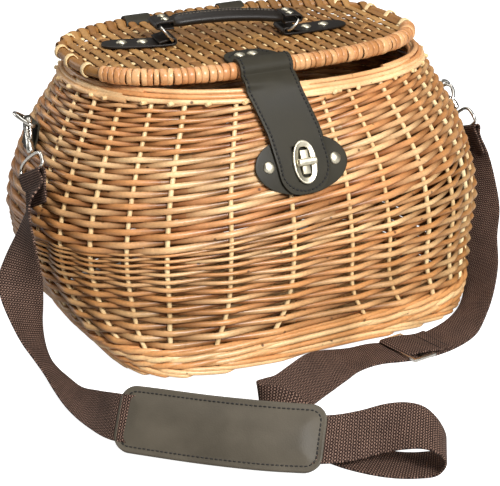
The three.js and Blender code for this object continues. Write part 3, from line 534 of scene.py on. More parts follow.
# shoulder strap: one ribbon from hook to hook, through the pad, standing on edge where it turns behind it
strap = {
    "halfWidth": 19, "thickness": 1.6, "softEdge": 0.3, "rows": 480, "columns": 6,
    "turn": 2.9, "tail": ((27, 2.4), (10, 2.7)), "bars": ((-213.5, -22, 158.5), (229, -18.5, 129)),
    "left": [
        (-215.3, -27, 150, 0.15, -0.88, 0.45), (-218, -29.5, 142.5, -0.28, -0.92, 0.28),
        (-220.5, -32, 136, -0.36, -0.92, 0.16), (-227, -38, 113, -0.02, -0.99, 0.12),
        (-234, -43, 89, 0.52, -0.85, 0.02), (-238, -48, 70, 0.92, -0.34, -0.2),
        (-238, -56, 44, 0.87, 0.3, -0.38), (-236, -67, 26, 0.72, 0.55, -0.42),
        (-233, -80, 15, 0.6, 0.68, -0.42), (-230.5, -93, 9.5, 0.58, 0.74, -0.34),
        (-229, -110, 6.5, 0.62, 0.75, -0.22), (-227.5, -136, 5.5, 0.66, 0.75, -0.05),
        (-224, -170, 10.5, 0.57, 0.74, 0.36),
    ],
    "pad": [
        (-219.3, -210, 21.5, 0.44, 0.56, 0.68), (-203, -227.3, 22.5, 0.43, 0.52, 0.73),
        (-166.6, -263, 23.5, 0.42, 0.5, 0.75), (-130, -292.5, 23.5, 0.42, 0.5, 0.75),
        (-95, -315, 23, 0.44, 0.56, 0.7),
    ],
    "loop": [
        (-73, -324.5, 25.5, 0.38, 0.54, 0.75), (-54, -333, 31, 0.38, 0.53, 0.75),
        (-41.5, -343, 35, 0.46, 0.63, 0.62), (-31, -352, 35, 0.5, 0.76, 0.42),
        (-23, -360, 29, 0.53, 0.83, 0.18), (-17, -361.5, 16.5, 0.55, 0.84, 0),
        (-20, -357, 5.5, 0.57, 0.82, 0), (-31, -350, 2, 0.6, 0.8, 0),
        (-49, -339, 1.5, 0.68, 0.73, 0), (-68, -317, 1.5, 0.81, 0.58, 0),
        (-81, -290, 1.5, 0.86, 0.5, 0), (-88, -276, 7, 0.85, 0.42, 0.3),
        (-95, -264, 14.4, 0.65, 0.3, 0.68),
    ],
    "front": [
        (-102, -254, 19.4, 0.28, 0.15, 0.94), (-108.5, -246, 20.2, 0, 0, 1),
        (-111, -240.5, 20.2, -0.09, 0, 0.99), (-107, -236.5, 20, -0.2, 0.1, 0.97),
        (-97, -234.5, 19.3, -0.3, 0.2, 0.93), (-81.8, -230.6, 17.7, -0.41, 0.32, 0.85),
        (-64, -221, 16.6, -0.38, 0.48, 0.79), (-47, -210, 15.2, -0.34, 0.61, 0.72),
        (-21.7, -192.4, 10.3, -0.39, 0.8, 0.45), (0.8, -179.5, 4.6, -0.13, 0.98, 0.14),
        (19, -175.5, 2.2, 0, 1, 0), (36, -175, 1.6, 0.12, 0.99, 0),
        (52, -179, 1.3, 0.05, 0.99, 0), (78, -182, 1.3, -0.25, 0.97, 0),
        (108, -175, 1.3, -0.24, 0.97, 0), (130, -166, 2.6, -0.2, 0.97, -0.05),
        (150, -152, 6.5, -0.16, 0.95, -0.22), (169, -134, 12, -0.25, 0.88, -0.38),
        (195, -102, 23, -0.35, 0.84, -0.4), (212, -74, 39, -0.4, 0.83, -0.38),
        (225.5, -56, 58, -0.42, 0.83, -0.36), (231, -40, 79, -0.38, 0.85, -0.36),
        (232.5, -27, 104, -0.2, 0.91, -0.36), (231, -20.5, 122, 0.05, 0.93, -0.36),
    ],
    "ridesWith": ["shoulderPad", "padStitches", "strapSlider", "sliderBar", "sliderTurn", "sliderStitches",
                  "swivelLoopLeft", "swivelLoopRight", "snapHookLeft", "snapHookRight", "hookGateLeft",
                  "hookGateRight"],
}


# the webbing's end, doubled back and turned round a swivel bar
def barTurn(bar, first):
    bar = np.array(bar, float)
    across = np.array(first[3:], float)
    way = unitRows(np.array(first[:3]) - bar)
    side = unitRows(np.cross(way, across))
    side *= np.sign(np.dot(side[:2], -bar[:2]))  # tail on the basket's side
    spots = [bar + way * far + side * off for far, off in strap["tail"]]
    for degrees in (0, 45, 90, 135, 180):
        turn = math.radians(degrees)
        spots.append(bar + strap["turn"] * (math.cos(turn) * side - math.sin(turn) * way))
    return [(*spot, *across) for spot in spots]


# the webbing's map, in metres along and across
def mapWeave(mesh, run, halfWidth):
    for spot in mesh.uv_layers["weave"].data:
        row = int(round(spot.uv[0] * (len(run) - 1)))
        spot.uv = (run[row] * mm, spot.uv[1] * 2 * halfWidth * mm)


def makeStrap():
    left = barTurn(strap["bars"][0], strap["left"][0]) + strap["left"]
    front = strap["front"] + barTurn(strap["bars"][1], strap["front"][-1])[::-1]
    route = smoothLine(left + strap["pad"] + strap["loop"] + front, strap["rows"] + 1)
    centre, across = route[:, :3], unitRows(route[:, 3:])
    run = runAlong(centre)

    def place(u, v):
        row = int(round((u + 1) / 2 * strap["rows"]))
        return centre[row] + across[row] * (v * strap["halfWidth"])

    mesh = gridMesh("shoulderStrap", strap["rows"], strap["columns"], place)
    mapWeave(mesh, run, strap["halfWidth"])
    piece = keepPiece("shoulderStrap", mesh, strapWebbing, "basket",
                      ("webbing_left", "webbing_loop", "webbing_front"))
    thicken(piece, strap["thickness"], strap["softEdge"])
    length = run[-1] * mm
    print("strap laid, %.3f m" % length)
    return piece, centre * mm, length


shoulderStrap, strapCentre, strapLength = makeStrap()

# basket body: the same oval sections as the solid wall, bottom to mouth
body = {
    "height": (0, 46, 104, 162, 232), "halfWidth": (168, 204, 218, 201, 164),
    "halfDepth": (128, 142, 155, 145, 109), "squareness": (4.6, 2.8, 2.42, 2.42, 2.15),
    "setBack": (-21, -7, 2, 6, 4), "lean": 0.02, "mouth": 232,
}


def sectionValue(column, height):
    heights = np.array(body["height"], float)
    values = np.array(body[column], float)
    spots = np.arange(len(heights))
    after = np.minimum(spots + 1, len(heights) - 1)
    before = np.maximum(spots - 1, 0)
    slopes = (values[after] - values[before]) / (heights[after] - heights[before])
    level = np.clip(height, 0, body["mouth"])
    low = np.clip(np.searchsorted(heights, level, "right") - 1, 0, len(heights) - 2)
    span = heights[low + 1] - heights[low]
    part = (level - heights[low]) / span
    return easeBetween(part, span, values[low], slopes[low], values[low + 1], slopes[low + 1])


def wallField(x, y, z):
    power = sectionValue("squareness", z)
    across = np.abs(x / sectionValue("halfWidth", z)) ** power
    return across + np.abs((y - sectionValue("setBack", z)) / sectionValue("halfDepth", z)) ** power


def wallNormal(x, y, z):
    step = 0.5
    return unitRows(np.stack([wallField(x + step, y, z) - wallField(x - step, y, z),
                              wallField(x, y + step, z) - wallField(x, y - step, z),
                              wallField(x, y, z + step) - wallField(x, y, z - step)], -1))


def tilted(place):
    place = np.array(place, float)
    place[..., 2] -= body["lean"] * place[..., 0] * (place[..., 2] / body["mouth"]) ** 2
    return place


def together(*values):
    return np.broadcast_arrays(*(np.asarray(value, float) for value in values))


def wallPoint(angle, height, out):
    angle, height, out = together(angle, height, out)
    power = 2 / sectionValue("squareness", height)
    x = sectionValue("halfWidth", height) * signedPower(np.cos(angle), power)
    y = sectionValue("halfDepth", height) * signedPower(np.sin(angle), power)
    y = y + sectionValue("setBack", height)
    normal = wallNormal(x, y, np.clip(height, 1, body["mouth"] - 1))
    return tilted(np.stack([x, y, height], -1) + normal * out[..., None])


def frontPoint(x, height, out):
    x, height, out = together(x, height, out)
    power = sectionValue("squareness", height)
    share = np.abs(x / sectionValue("halfWidth", height)) ** power
    y = sectionValue("setBack", height) - sectionValue("halfDepth", height) * (1 - share) ** (1 / power)
    normal = wallNormal(x, y, height)
    return tilted(np.stack([x, y, height], -1) + normal * out[..., None]), normal


# wall weave: thirty stakes, single rods in front of one and behind the next
weave = {
    "stakes": (199, 211, 223, 234.5, 250.5, 264.4, 274, 283, 296, 308, 319, 330, 341, 352, 363, 376, 389,
               402, 414, 426, 438, 450, 462, 474, 486, 498, 510, 523, 536, 548),
    "stakeRadius": 2.1, "stakeOut": -3.5, "stakeFoot": 8, "stakeTop": 226, "stakeSpread": (0.92, 1.08),
    "upper": {"top": 219.5, "rows": 23, "firstPitch": 3.1, "lastPitch": 5.4, "fill": 0.545, "extraRows": 6},
    "lower": {"top": 124.5, "rows": 22, "firstPitch": 3.7, "lastPitch": 5.4, "fill": 0.49, "extraRows": 0},
    "steps": 9, "rodSpan": (6, 11), "tuck": 0.3, "spread": (0.94, 1.05), "taper": 0.05, "leastPoints": 5,
    "drift": 0.3, "wobble": ((3, 1.0), (7, 0.7), (12, 0.5)), "swing": 3.3, "snap": 0.98, "slopeStep": 4,
    "tilt": 0.1, "tiltFrom": (72, 126), "tiltPower": 1.5, "rowLimit": 226, "girthLimits": (0.62, 1.15),
    "backGain": 0.3, "backSwing": 0.45, "backLimit": 0.35, "backFrom": 0.6, "backSide": 0.6,
    # where the painted flank shade starts, left and right, and over how much width it comes in full
    "flankShadeFrom": (125, 70), "flankShadeSpan": 85,
}
stakeCount = len(weave["stakes"])


def stakeAngle(spot):
    turns, place = np.divmod(np.asarray(spot, float), stakeCount)
    angles = np.array(weave["stakes"] + (weave["stakes"][0] + 360,), float)
    return np.radians(np.interp(place, np.arange(stakeCount + 1), angles) + 360 * turns)


def rowHeights(band):
    pitches = np.linspace(band["firstPitch"], band["lastPitch"], band["rows"])
    extra = band["firstPitch"] * np.arange(band["extraRows"], 0, -1)
    heights = band["top"] - np.concatenate([[0], np.cumsum(pitches[:-1])])
    allPitches = np.concatenate([np.full(len(extra), pitches[0]), pitches])
    return np.concatenate([band["top"] + extra, heights]), allPitches


# one round of the basket: rods tucked in behind a stake at both ends, higher rows rising to the right
def weaveRow(height, pitch, fill, parity):
    step = weave["slopeStep"]
    bulge = sectionValue("halfDepth", height + step) - sectionValue("halfDepth", height - step)
    radius = fill * pitch * np.hypot(1, bulge / (2 * step))
    low, high = weave["tiltFrom"]
    share = float(np.clip((height - low) / (high - low), 0, 1))
    power = weave["tiltPower"]
    tilt = weave["tilt"] * share ** power
    squeeze = weave["tilt"] * power * share ** (power - 1) / (high - low) if share < 1 else 0.0
    waves = dice.uniform(0, 2 * math.pi, 3)
    rods = []
    start = parity + 2 * int(dice.integers(0, 4))
    spot = start
    while spot < start + stakeCount:
        span = 2 * int(dice.integers(weave["rodSpan"][0] // 2, weave["rodSpan"][1] // 2 + 1))
        stop = min(spot + span, start + stakeCount)
        tuck = weave["tuck"]
        at = np.linspace(spot - tuck, stop + tuck, int((stop - spot + 2 * tuck) * weave["steps"]))
        angle = stakeAngle(at)
        corner = 2 / sectionValue("squareness", height)
        reach = sectionValue("halfWidth", height) * signedPower(np.cos(angle), corner)
        girth = radius * dice.uniform(*weave["spread"])
        girth = girth * (1 + weave["taper"] * np.linspace(1, -1, len(at)) * dice.choice((-1, 1)))
        back = 2 * np.sin(angle) + weave["backFrom"] + weave["backSide"] * np.clip(np.cos(angle), 0, 1)
        back = np.clip(back, 0, 1)  # a closer weave round the back
        # painted shade: rods turn darker olive towards the left and right flanks
        aged = np.clip((np.abs(reach) - np.where(reach < 0, *weave["flankShadeFrom"])) / weave["flankShadeSpan"], 0, 1)
        thin, full = weave["girthLimits"]
        girth = girth * (1 + weave["backGain"] * back)
        girth = girth * np.clip(1 + squeeze * reach, thin, full + weave["backLimit"] * back)
        sway = np.arcsin(weave["snap"] * np.cos(math.pi * (at - parity))) / math.asin(weave["snap"])
        out = weave["stakeOut"] - weave["swing"] * sway * (1 - weave["backSwing"] * back)
        wobble = 0
        for (times, size), wave in zip(weave["wobble"], waves):
            wobble = wobble + size * np.sin(times * angle + wave)
        level = height + weave["drift"] * wobble + tilt * reach
        tone = dice.uniform(0, 1)
        below = np.flatnonzero(level < weave["rowLimit"])
        for run in np.split(below, np.flatnonzero(np.diff(below) > 1) + 1):
            if len(run) > weave["leastPoints"]:
                line = wallPoint(angle[run], level[run], out[run])
                # lit is painted shade: low where the rod goes in behind a stake, high where it passes over
                # one
                rods.append(rod(line, girth[run], tone, lit=0.5 - 0.5 * sway[run], aged=aged[run]))
        spot = stop
    return rods


def makeWall():
    parity = 0
    for name, band, material, replaced in (("wallUpperRods", weave["upper"], wallWillow, ("basket_wall",)),
                                           ("wallLowerRods", weave["lower"], lowWillow, ())):
        rods = []
        for height, pitch in zip(*rowHeights(band)):
            rods += weaveRow(height, pitch, band["fill"], parity)
            parity = 1 - parity
        layRods(name, rods, "rod", material, "basket", replaced)
    stakes = []
    levels = np.linspace(weave["stakeFoot"], weave["stakeTop"], 40)
    for spot in range(stakeCount):
        line = wallPoint(stakeAngle(spot), levels, weave["stakeOut"])
        radius = weave["stakeRadius"] * dice.uniform(*weave["stakeSpread"])
        stakes.append(rod(line, radius, dice.uniform(0, 1)))
    layRods("wallStakes", stakes, "rod", stakeWillow, "basket")
    print("wall woven")


makeWall()

# waling under the weave, foot border and rim border: rods laid over several stakes
wale = {"levels": (23.6, 18, 12.6), "radius": 2.5, "frontOut": 0.3, "backOut": -8.5, "rise": 1.7, "steps": 8}
foot = {
    "from": 9.8, "to": 2.4, "span": 2.5, "radius": 2.2, "spread": (0.92, 1.06), "steps": 9, "sway": 0.12,
    "drift": 0.3, "out": 0.2, "dive": 6, "diveEnds": (0.15, 0.88), "inner": (-4.5, -8.5), "innerLevel": 5.0,
}
rim = {
    "rows": ((230.6, -2.4), (226.6, -0.8), (223.0, 0.2)), "span": 4.6, "spanSpread": (0.8, 1.2),
    "overlap": 0.7, "slant": 1.1, "drift": 0.2, "radius": 2.3, "spread": (0.93, 1.05), "steps": 8,
    "dive": 3.0, "diveEnd": 0.16,
    "inner": (-5.4, -8.6), "innerLevel": 229.4, "innerRadius": 2.6, "innerPoints": 160,
    "cutPitch": 11.5, "cutSway": 3, "cutRadius": 2.1, "cutLevel": 220.4, "cutTurn": (0.035, 0.01, 0, -0.002),
    "cutRise": (3.4, 0.8, 0, -0.2), "cutTaper": (1, 1, 0.92, 0.7), "cutOut": (-4.0, 1.6, 3.0, 3.4),
}


def makeWale():
    width = wale["steps"] // 2 * 2 + 1
    at = np.arange(0, stakeCount, 1 / wale["steps"])

    def softened(state, values):
        line = np.interp(state, (0, 1, 2, 3), values)
        return np.convolve(np.pad(line, width // 2, mode="wrap"), np.ones(width) / width, "valid")

    rods = []
    front, back, rise = wale["frontOut"], wale["backOut"], wale["rise"]
    for level in wale["levels"]:
        for phase in range(3):
            state = (at + phase) % 3
            height = level + softened(state, (-rise, rise, 0, -rise))
            line = wallPoint(stakeAngle(at), height, softened(state, (front, front, back, front)))
            rods.append(rod(line, wale["radius"], dice.uniform(0, 1), True))
    layRods("waleRods", rods, "rod", lowWillow, "basket")


def footLayers():
    rods = []
    start, stop = foot["diveEnds"]
    for spot in range(stakeCount):
        share = np.linspace(0, 1, int(foot["span"] * foot["steps"]))
        at = spot + share * foot["span"] + dice.uniform(-foot["sway"], foot["sway"])
        level = foot["from"] + (foot["to"] - foot["from"]) * share
        level = level + dice.uniform(-foot["drift"], foot["drift"])
        dive = (1 - np.minimum(share / start, 1)) ** 2 + np.maximum((share - stop) / (1 - stop), 0) ** 2
        line = wallPoint(stakeAngle(at), level, foot["out"] - foot["dive"] * dive)
        rods.append(rod(line, foot["radius"] * dice.uniform(*foot["spread"]), dice.uniform(0, 1)))
    return rods


def rimLayers():
    rods = []
    for level, out in rim["rows"]:
        spot = dice.uniform(0, 1)
        last = spot + stakeCount
        while spot < last:
            stop = min(spot + rim["span"] * dice.uniform(*rim["spanSpread"]), last)
            points = int((stop - spot + 1) * rim["steps"])
            at = np.linspace(spot - rim["overlap"], stop + rim["overlap"], points)
            share = np.linspace(0, 1, points)
            dive = rim["dive"] * np.maximum(1 - share / rim["diveEnd"], 0) ** 2
            height = level + rim["slant"] * (0.5 - share) * 2 + dice.uniform(-rim["drift"], rim["drift"])
            line = wallPoint(stakeAngle(at), height, out - dive)
            rods.append(rod(line, rim["radius"] * dice.uniform(*rim["spread"]), dice.uniform(0, 1)))
            spot = stop
    return rods


# plain rings of rod inside the foot and the rim
def innerRings(level, outs):
    angle = np.linspace(0, 2 * math.pi, rim["innerPoints"], endpoint=False)
    return [rod(wallPoint(angle, level, out), rim["innerRadius"], dice.uniform(0, 1), True) for out in outs]


# short ends of border rods, cut off slanting just under the rim
def cutEnds():
    ends = []
    for degrees in np.arange(0, 360, rim["cutPitch"]):
        middle = math.radians(degrees + dice.uniform(-rim["cutSway"], rim["cutSway"]))
        angle = middle + np.array(rim["cutTurn"])
        line = wallPoint(angle, rim["cutLevel"] + np.array(rim["cutRise"]), rim["cutOut"])
        ends.append(rod(line, rim["cutRadius"] * np.array(rim["cutTaper"]), dice.uniform(0, 1)))
    return ends


def makeBorders():
    rods = footLayers() + innerRings(foot["innerLevel"], foot["inner"])
    layRods("footRods", rods, "rod", lowWillow, "basket", ("foot_border",))
    rods = rimLayers() + innerRings(rim["innerLevel"], rim["inner"])
    layRods("rimRods", rods, "rod", wallWillow, "basket", ("rim_border",))
    layRods("rimCutEnds", cutEnds(), "rod", stakeWillow, "basket")
    print("borders laid")


makeWale()
makeBorders()

# lid: an oval rod with its front edge closely wound, flat strips front to back and weavers across
lid = {
    "centre": (-8, 2), "half": (157, 90), "squareness": 2.75, "level": 244, "rodRadius": 4.5, "rodTone": 0.7,
    "windFrom": 203, "windTo": 341, "windRadius": 6.3, "windSpread": 0.25, "turnWidth": (3.9, 7.4),
    "turnLean": 0.9, "leanFrom": 0.6, "turnOverlap": 0.05, "lookAhead": 2,
    "wrapGap": 1.1, "wrapTurn": (110, -80),
    "stripPitch": 10.4, "stripHalf": 3.9, "stripSpread": (0.9, 1.08), "stripSway": 0.5, "stripSlant": 0.8,
    "stripLeast": 22, "stripEnds": (4, 9), "stripStep": 2.5, "weaverPitch": 10, "weaverHalf": 3.1,
    "weaverSpread": (0.85, 1.05), "weaverLeast": 40, "weaverEnds": 7, "weaverStep": 2.4, "weaverGain": 2.2,
    "wave": 1.1, "rise": 0.9, "humpReach": 0.62, "paleEvery": 3, "paleRise": 0.6,
}
stripCount = int(2 * lid["half"][0] / lid["stripPitch"])
weaverRows = int(2 * lid["half"][1] / lid["weaverPitch"])
flatUp = np.array([0, 0, 1.0])


def lidOval(angle):
    power = 2 / lid["squareness"]
    x = lid["half"][0] * signedPower(np.cos(angle), power) + lid["centre"][0]
    y = lid["half"][1] * signedPower(np.sin(angle), power) + lid["centre"][1]
    return np.stack([x, y, np.full_like(x, lid["level"])], -1)


def lidReach(place, way):
    other = 1 - way
    share = np.abs((place - lid["centre"][other]) / lid["half"][other]) ** lid["squareness"]
    return lid["half"][way] * np.maximum(1 - share, 0) ** (1 / lid["squareness"])


def around(turn, outward):
    return np.cos(turn)[:, None] * np.asarray(outward, float) + np.sin(turn)[:, None] * flatUp


def lidFrame():
    hoop = lidOval(np.linspace(0, 2 * math.pi, 200, endpoint=False))
    ring = rod(hoop, lid["rodRadius"], lid["rodTone"], True)
    layRods("lidHoop", [ring], "rod", hoopWillow, "lid", ("lid_frame",))
    turns = []
    path = lidOval(np.radians(np.linspace(lid["windFrom"], lid["windTo"], 700)))
    run = runAlong(path)
    turnRing = np.linspace(0, 2 * math.pi, 18, endpoint=False)
    spot = 0.0
    while spot < run[-1]:
        width = dice.uniform(*lid["turnWidth"])
        reach = min(spot + width / 2, run[-1] - lid["lookAhead"])
        middle, ahead = readLine(np.array([reach, reach + lid["lookAhead"]]), run, path)
        tangent = unitRows(ahead - middle)
        radial = around(turnRing, (tangent[1], -tangent[0], 0))
        lean = np.cos(turnRing + lid["leanFrom"]) * (dice.uniform(-1, 1) * lid["turnLean"])
        radius = lid["windRadius"] + dice.uniform(-lid["windSpread"], lid["windSpread"])
        line = middle + radial * radius + tangent * lean[:, None]
        turns.append(rod(line, width / 2 + lid["turnOverlap"], dice.uniform(0, 1), True, radial))
        spot += width
    layRods("lidWinding", turns, "strip", windWillow, "lid", ("lid_wrap",))


# a strip's end, bent down round the lid's rod
def wrapEnd(x, y, outward):
    radial = around(np.radians(np.linspace(*lid["wrapTurn"], 12)), outward)
    return np.array([x, y, lid["level"]]) + radial * (lid["rodRadius"] + lid["wrapGap"]), radial


def hump(spots, centres):
    near = np.abs(spots[:, None] - np.array(centres + [math.inf])).min(axis=1)
    return np.cos(np.minimum(near / lid["humpReach"], 1) * math.pi / 2) ** 2


def crossed(strip, row):  # where a brown weaver comes up over a strip
    return row % lid["paleEvery"] != 0 and (strip + 2 * row) % 4 == 0


def lidStrips():
    strips = []
    for index in range(stripCount):
        x = lid["centre"][0] + (index - (stripCount - 1) / 2) * lid["stripPitch"]
        x += dice.uniform(-lid["stripSway"], lid["stripSway"])
        reach = lidReach(x, 1)
        if reach < lid["stripLeast"]:
            continue
        front, back = lid["centre"][1] - reach + lid["stripEnds"][0], lid["centre"][1] + reach
        y = np.linspace(front, back - lid["stripEnds"][1], int((back - front) / lid["stripStep"]))
        row = (y - lid["centre"][1]) / lid["weaverPitch"] + weaverRows / 2
        dips = hump(row, [k for k in range(weaverRows + 1) if crossed(index, k)])
        z = lid["level"] + lid["rise"] - lid["wave"] * dips
        slant = dice.uniform(-lid["stripSlant"], lid["stripSlant"])
        line = np.stack([x + slant * np.linspace(-1, 1, len(y)), y, z], -1)
        loop, radial = wrapEnd(x, back, (0, 1, 0))
        facing = np.concatenate([np.broadcast_to(flatUp, line.shape), radial])
        strips.append(rod(np.concatenate([line, loop]), lid["stripHalf"] * dice.uniform(*lid["stripSpread"]),
                          dice.uniform(0, 1), False, facing))
    layRods("lidStrips", strips, "strip", lidWillow, "lid", ("lid_panel",))


def lidWeavers():
    brown, pale = [], []
    for index in range(weaverRows + 1):
        y = lid["centre"][1] + (index - weaverRows / 2) * lid["weaverPitch"]
        reach = lidReach(y, 0)
        if reach < lid["weaverLeast"]:
            continue
        looped = index % lid["paleEvery"] == 0
        left, right = lid["centre"][0] - reach, lid["centre"][0] + reach
        ends = lid["weaverEnds"]
        x = np.linspace(left + ends, right - ends, int((right - left) / lid["weaverStep"]))
        column = (x - lid["centre"][0]) / lid["stripPitch"] + (stripCount - 1) / 2
        rises = hump(column, [k for k in range(stripCount) if crossed(k, index)])
        z = lid["level"] - lid["rise"] + lid["weaverGain"] * lid["wave"] * rises
        line = np.stack([x, np.full_like(x, y), z + (lid["paleRise"] if looped else 0)], -1)
        facing = np.broadcast_to(flatUp, line.shape)
        if looped:
            first, firstFacing = wrapEnd(left, y, (-1, 0, 0))
            last, lastFacing = wrapEnd(right, y, (1, 0, 0))
            line = np.concatenate([first[::-1], line, last])
            facing = np.concatenate([firstFacing[::-1], facing, lastFacing])
        size = lid["weaverHalf"] * dice.uniform(*lid["weaverSpread"])
        (pale if looped else brown).append(rod(line, size, dice.uniform(0, 1), False, facing))
    layRods("lidWeavers", brown, "strip", lidWillow, "lid")
    layRods("lidPaleWeavers", pale, "strip", stakeWillow, "lid")
    print("lid woven")


lidFrame()
lidStrips()
lidWeavers()

# closure strap over the front of the lid, patch behind it and the turn lock through both
closure = {
    "x": -31, "lidEnd": -50, "halfWidth": 24.2, "thickness": 2.4, "softEdge": 0.5, "lidLevel": 248.2,
    "round": 22, "bottom": 148.5, "rows": 110, "columns": 24, "lidSteps": (0, 1, 3, 6, 10, 15, 20, 25, 30),
    "wrapRadius": 9.4, "wrap": (75, 100, 125, 150, 172, 190), "rod": (-88, 244), "below": (-105, 237),
    "heights": (229, 220, 208, 196, 184, 172.5, 161, 156, 152.5, 150, 148.5),
    "lean": ((148.5, -18.5), (172.5, -18), (199, -21.5), (232, -31)), "out": ((196, 4.3), (212, 3.5)),
    "stitchInset": 2.7, "stitchPitch": 3.7, "stitchLength": 2.5, "stitchRadius": 0.85, "stitchGap": 0.15,
    "stitchFrom": 36, "bowGap": 2, "bowLimit": 0.97,
    "lobeFrom": 4.5, "lobeDepth": 14, "lobeTurn": 1.5, "lobeSide": 0.82, "lobeEnd": 0.84,
}
patch = {
    "centre": (-18, 171), "half": (42, 23), "out": 1.4, "thickness": 2.2, "softEdge": 0.4, "grid": (36, 20),
}
lock = {"x": -18, "height": 172.5, "slotHalf": (7.5, 14.5)}


def endWidth(fromEnd):
    share = np.clip(fromEnd / closure["round"], 0, 1)
    return closure["halfWidth"] * (0.3 + 0.7 * np.sqrt(share * (2 - share)))


def closureRibbon():
    x, wide = closure["x"], closure["halfWidth"]
    stations = []
    for step in closure["lidSteps"]:
        stations.append((x, closure["lidEnd"] - step, closure["lidLevel"], 1, 0, 0, endWidth(step)))
    for turn in np.radians(closure["wrap"]):
        y = closure["rod"][0] + closure["wrapRadius"] * math.cos(turn)
        z = closure["rod"][1] + closure["wrapRadius"] * math.sin(turn)
        stations.append((x, y, z, 1, 0, 0, wide))
    stations.append((x, *closure["below"], 1, 0, 0, wide))
    leanHeights, leanX = zip(*closure["lean"])
    outHeights, outs = zip(*closure["out"])
    for height in closure["heights"]:
        middle = np.interp(height, leanHeights, leanX)
        at, normal = frontPoint(middle, height, np.interp(height, outHeights, outs))
        across = unitRows(np.array([-normal[1], normal[0], 0]))
        stations.append((*at, *across, endWidth(height - closure["bottom"])))
    return Ribbon(stations, closure["rows"])


def closureStitches(ribbon):
    lift = -closure["thickness"] / 2 - closure["stitchGap"]  # the ribbon's normal points into the basket
    inset = closure["stitchInset"]
    roundRadius = closure["halfWidth"] - inset
    bowStart = ribbon.length - closure["halfWidth"] + closure["bowGap"]
    runs = np.linspace(closure["stitchFrom"], bowStart, 60)
    left = [ribbon.at(run, -1 + inset / ribbon.width(run), lift) for run in runs]
    right = [ribbon.at(run, 1 - inset / ribbon.width(run), lift) for run in runs]
    bow = []
    for turn in np.radians(np.linspace(-90, 90, 40)):
        run = bowStart + (roundRadius - closure["bowGap"]) * math.cos(turn)
        side = roundRadius * math.sin(turn) / ribbon.width(run)
        bow.append(ribbon.at(run, np.clip(side, -closure["bowLimit"], closure["bowLimit"]), lift))
    lobe = []
    for turn in np.linspace(-closure["lobeTurn"], closure["lobeTurn"], 40):
        side = closure["lobeSide"] * math.sin(turn)
        if abs(turn) >= closure["lobeTurn"]:
            side = math.copysign(closure["lobeEnd"], turn)
        lobe.append(ribbon.at(closure["lobeFrom"] + closure["lobeDepth"] * (1 - math.cos(turn)), side, lift))
    stitches = []
    for line in (left + bow + right[::-1], lobe):
        stitches += stitchLine(line, closure["stitchPitch"], closure["stitchLength"],
                               closure["stitchRadius"])
    layRods("closureStitches", stitches, "thread", darkThread, "lid")


def makeClosure():
    ribbon = closureRibbon()
    at = frontPoint(lock["x"], lock["height"], closure["out"][0][1])[0]
    lockRun = ribbon.spots[np.argmin(np.linalg.norm(ribbon.table[:, :3] - at, axis=1))]

    def inSlot(u, v):
        run = (u + 1) / 2 * ribbon.length
        return abs(run - lockRun) < lock["slotHalf"][1] and abs(v * ribbon.width(run)) < lock["slotHalf"][0]

    mesh = ribbonMesh("closureStrap", ribbon, closure["columns"], inSlot)
    piece = keepPiece("closureStrap", mesh, strapLeather, "lid", ("closure_strap",))
    thicken(piece, closure["thickness"], closure["softEdge"])
    closureStitches(ribbon)

    def patchPlace(u, v):
        x = patch["centre"][0] + patch["half"][0] * u * math.sqrt(1 - v * v / 2)
        height = patch["centre"][1] + patch["half"][1] * v * math.sqrt(1 - u * u / 2)
        return frontPoint(x, height, patch["out"])[0]

    mesh = gridMesh("keeperPatch", *patch["grid"], patchPlace)
    piece = keepPiece("keeperPatch", mesh, strapLeather, "basket", ("keeper_patch",))
    thicken(piece, patch["thickness"], patch["softEdge"])
    print("closure sewn")


makeClosure()


# rings of points joined into one closed shape
def loftRings(name, rings, endless=False):
    net = bmesh.new()
    loops = []
    for ring in rings:
        verts = [net.verts.new(Vector(spot) * mm) for spot in ring]
        loops.append([net.edges.new((verts[k - 1], verts[k])) for k in range(len(verts))])
    for first, second in zip(loops, loops[1:] + (loops[:1] if endless else [])):
        bmesh.ops.bridge_loops(net, edges=first + second)
    if not endless:
        bmesh.ops.contextual_create(net, geom=loops[0])
        bmesh.ops.contextual_create(net, geom=loops[-1])
    bmesh.ops.recalc_face_normals(net, faces=net.faces[:])
    return keepMesh(net, name)


# shoulder pad: two layers of leather over foam, sewn flat round the edge
pad = {
    "halfWidth": 26.5, "edge": 1.5, "crown": 4.2, "seam": 4.6, "seamShare": 0.55, "swell": 17, "corner": 13,
    "rows": 80, "cuts": (79, 29, 2), "softness": 0.7,
    "stitchPitch": 3.6, "stitchLength": 2.5, "stitchRadius": 0.6, "stitchGap": 0.25, "stitchSteps": 24,
}


def padRise(inside):
    low = pad["edge"] * pad["seamShare"]
    if inside < pad["seam"]:
        return low + (pad["edge"] - low) * abs(inside - pad["seam"]) / pad["seam"]
    swell = min((inside - pad["seam"]) / pad["swell"], 1)
    return low + (pad["crown"] - low) * math.sin(swell * math.pi / 2)


def padStitches(ribbon):
    half, wide, seam = ribbon.length / 2, pad["halfWidth"], pad["seam"]
    bend = pad["corner"] - seam
    corners = []
    for quarter, (right, far) in enumerate(((1, 1), (-1, 1), (-1, -1), (1, -1))):
        for turn in np.radians(np.linspace(90 * quarter, 90 * quarter + 90, 10)):
            x = right * (half - seam - bend) + bend * math.cos(turn)
            y = far * (wide - seam - bend) + bend * math.sin(turn)
            corners.append(np.array((x, y)))
    steps = pad["stitchSteps"]
    fine = []
    for one, two in zip(corners, corners[1:] + corners[:1]):
        fine += [one + (two - one) * k / steps for k in range(steps)]
    stitches = []
    for face in (1, -1):
        lift = face * (pad["edge"] * pad["seamShare"] + pad["stitchGap"])
        loop = [ribbon.at(half + x, y / wide, lift) for x, y in fine]
        stitches += stitchLine(loop, pad["stitchPitch"], pad["stitchLength"], pad["stitchRadius"])
    layRods("padStitches", stitches, "thread", darkThread, "basket")


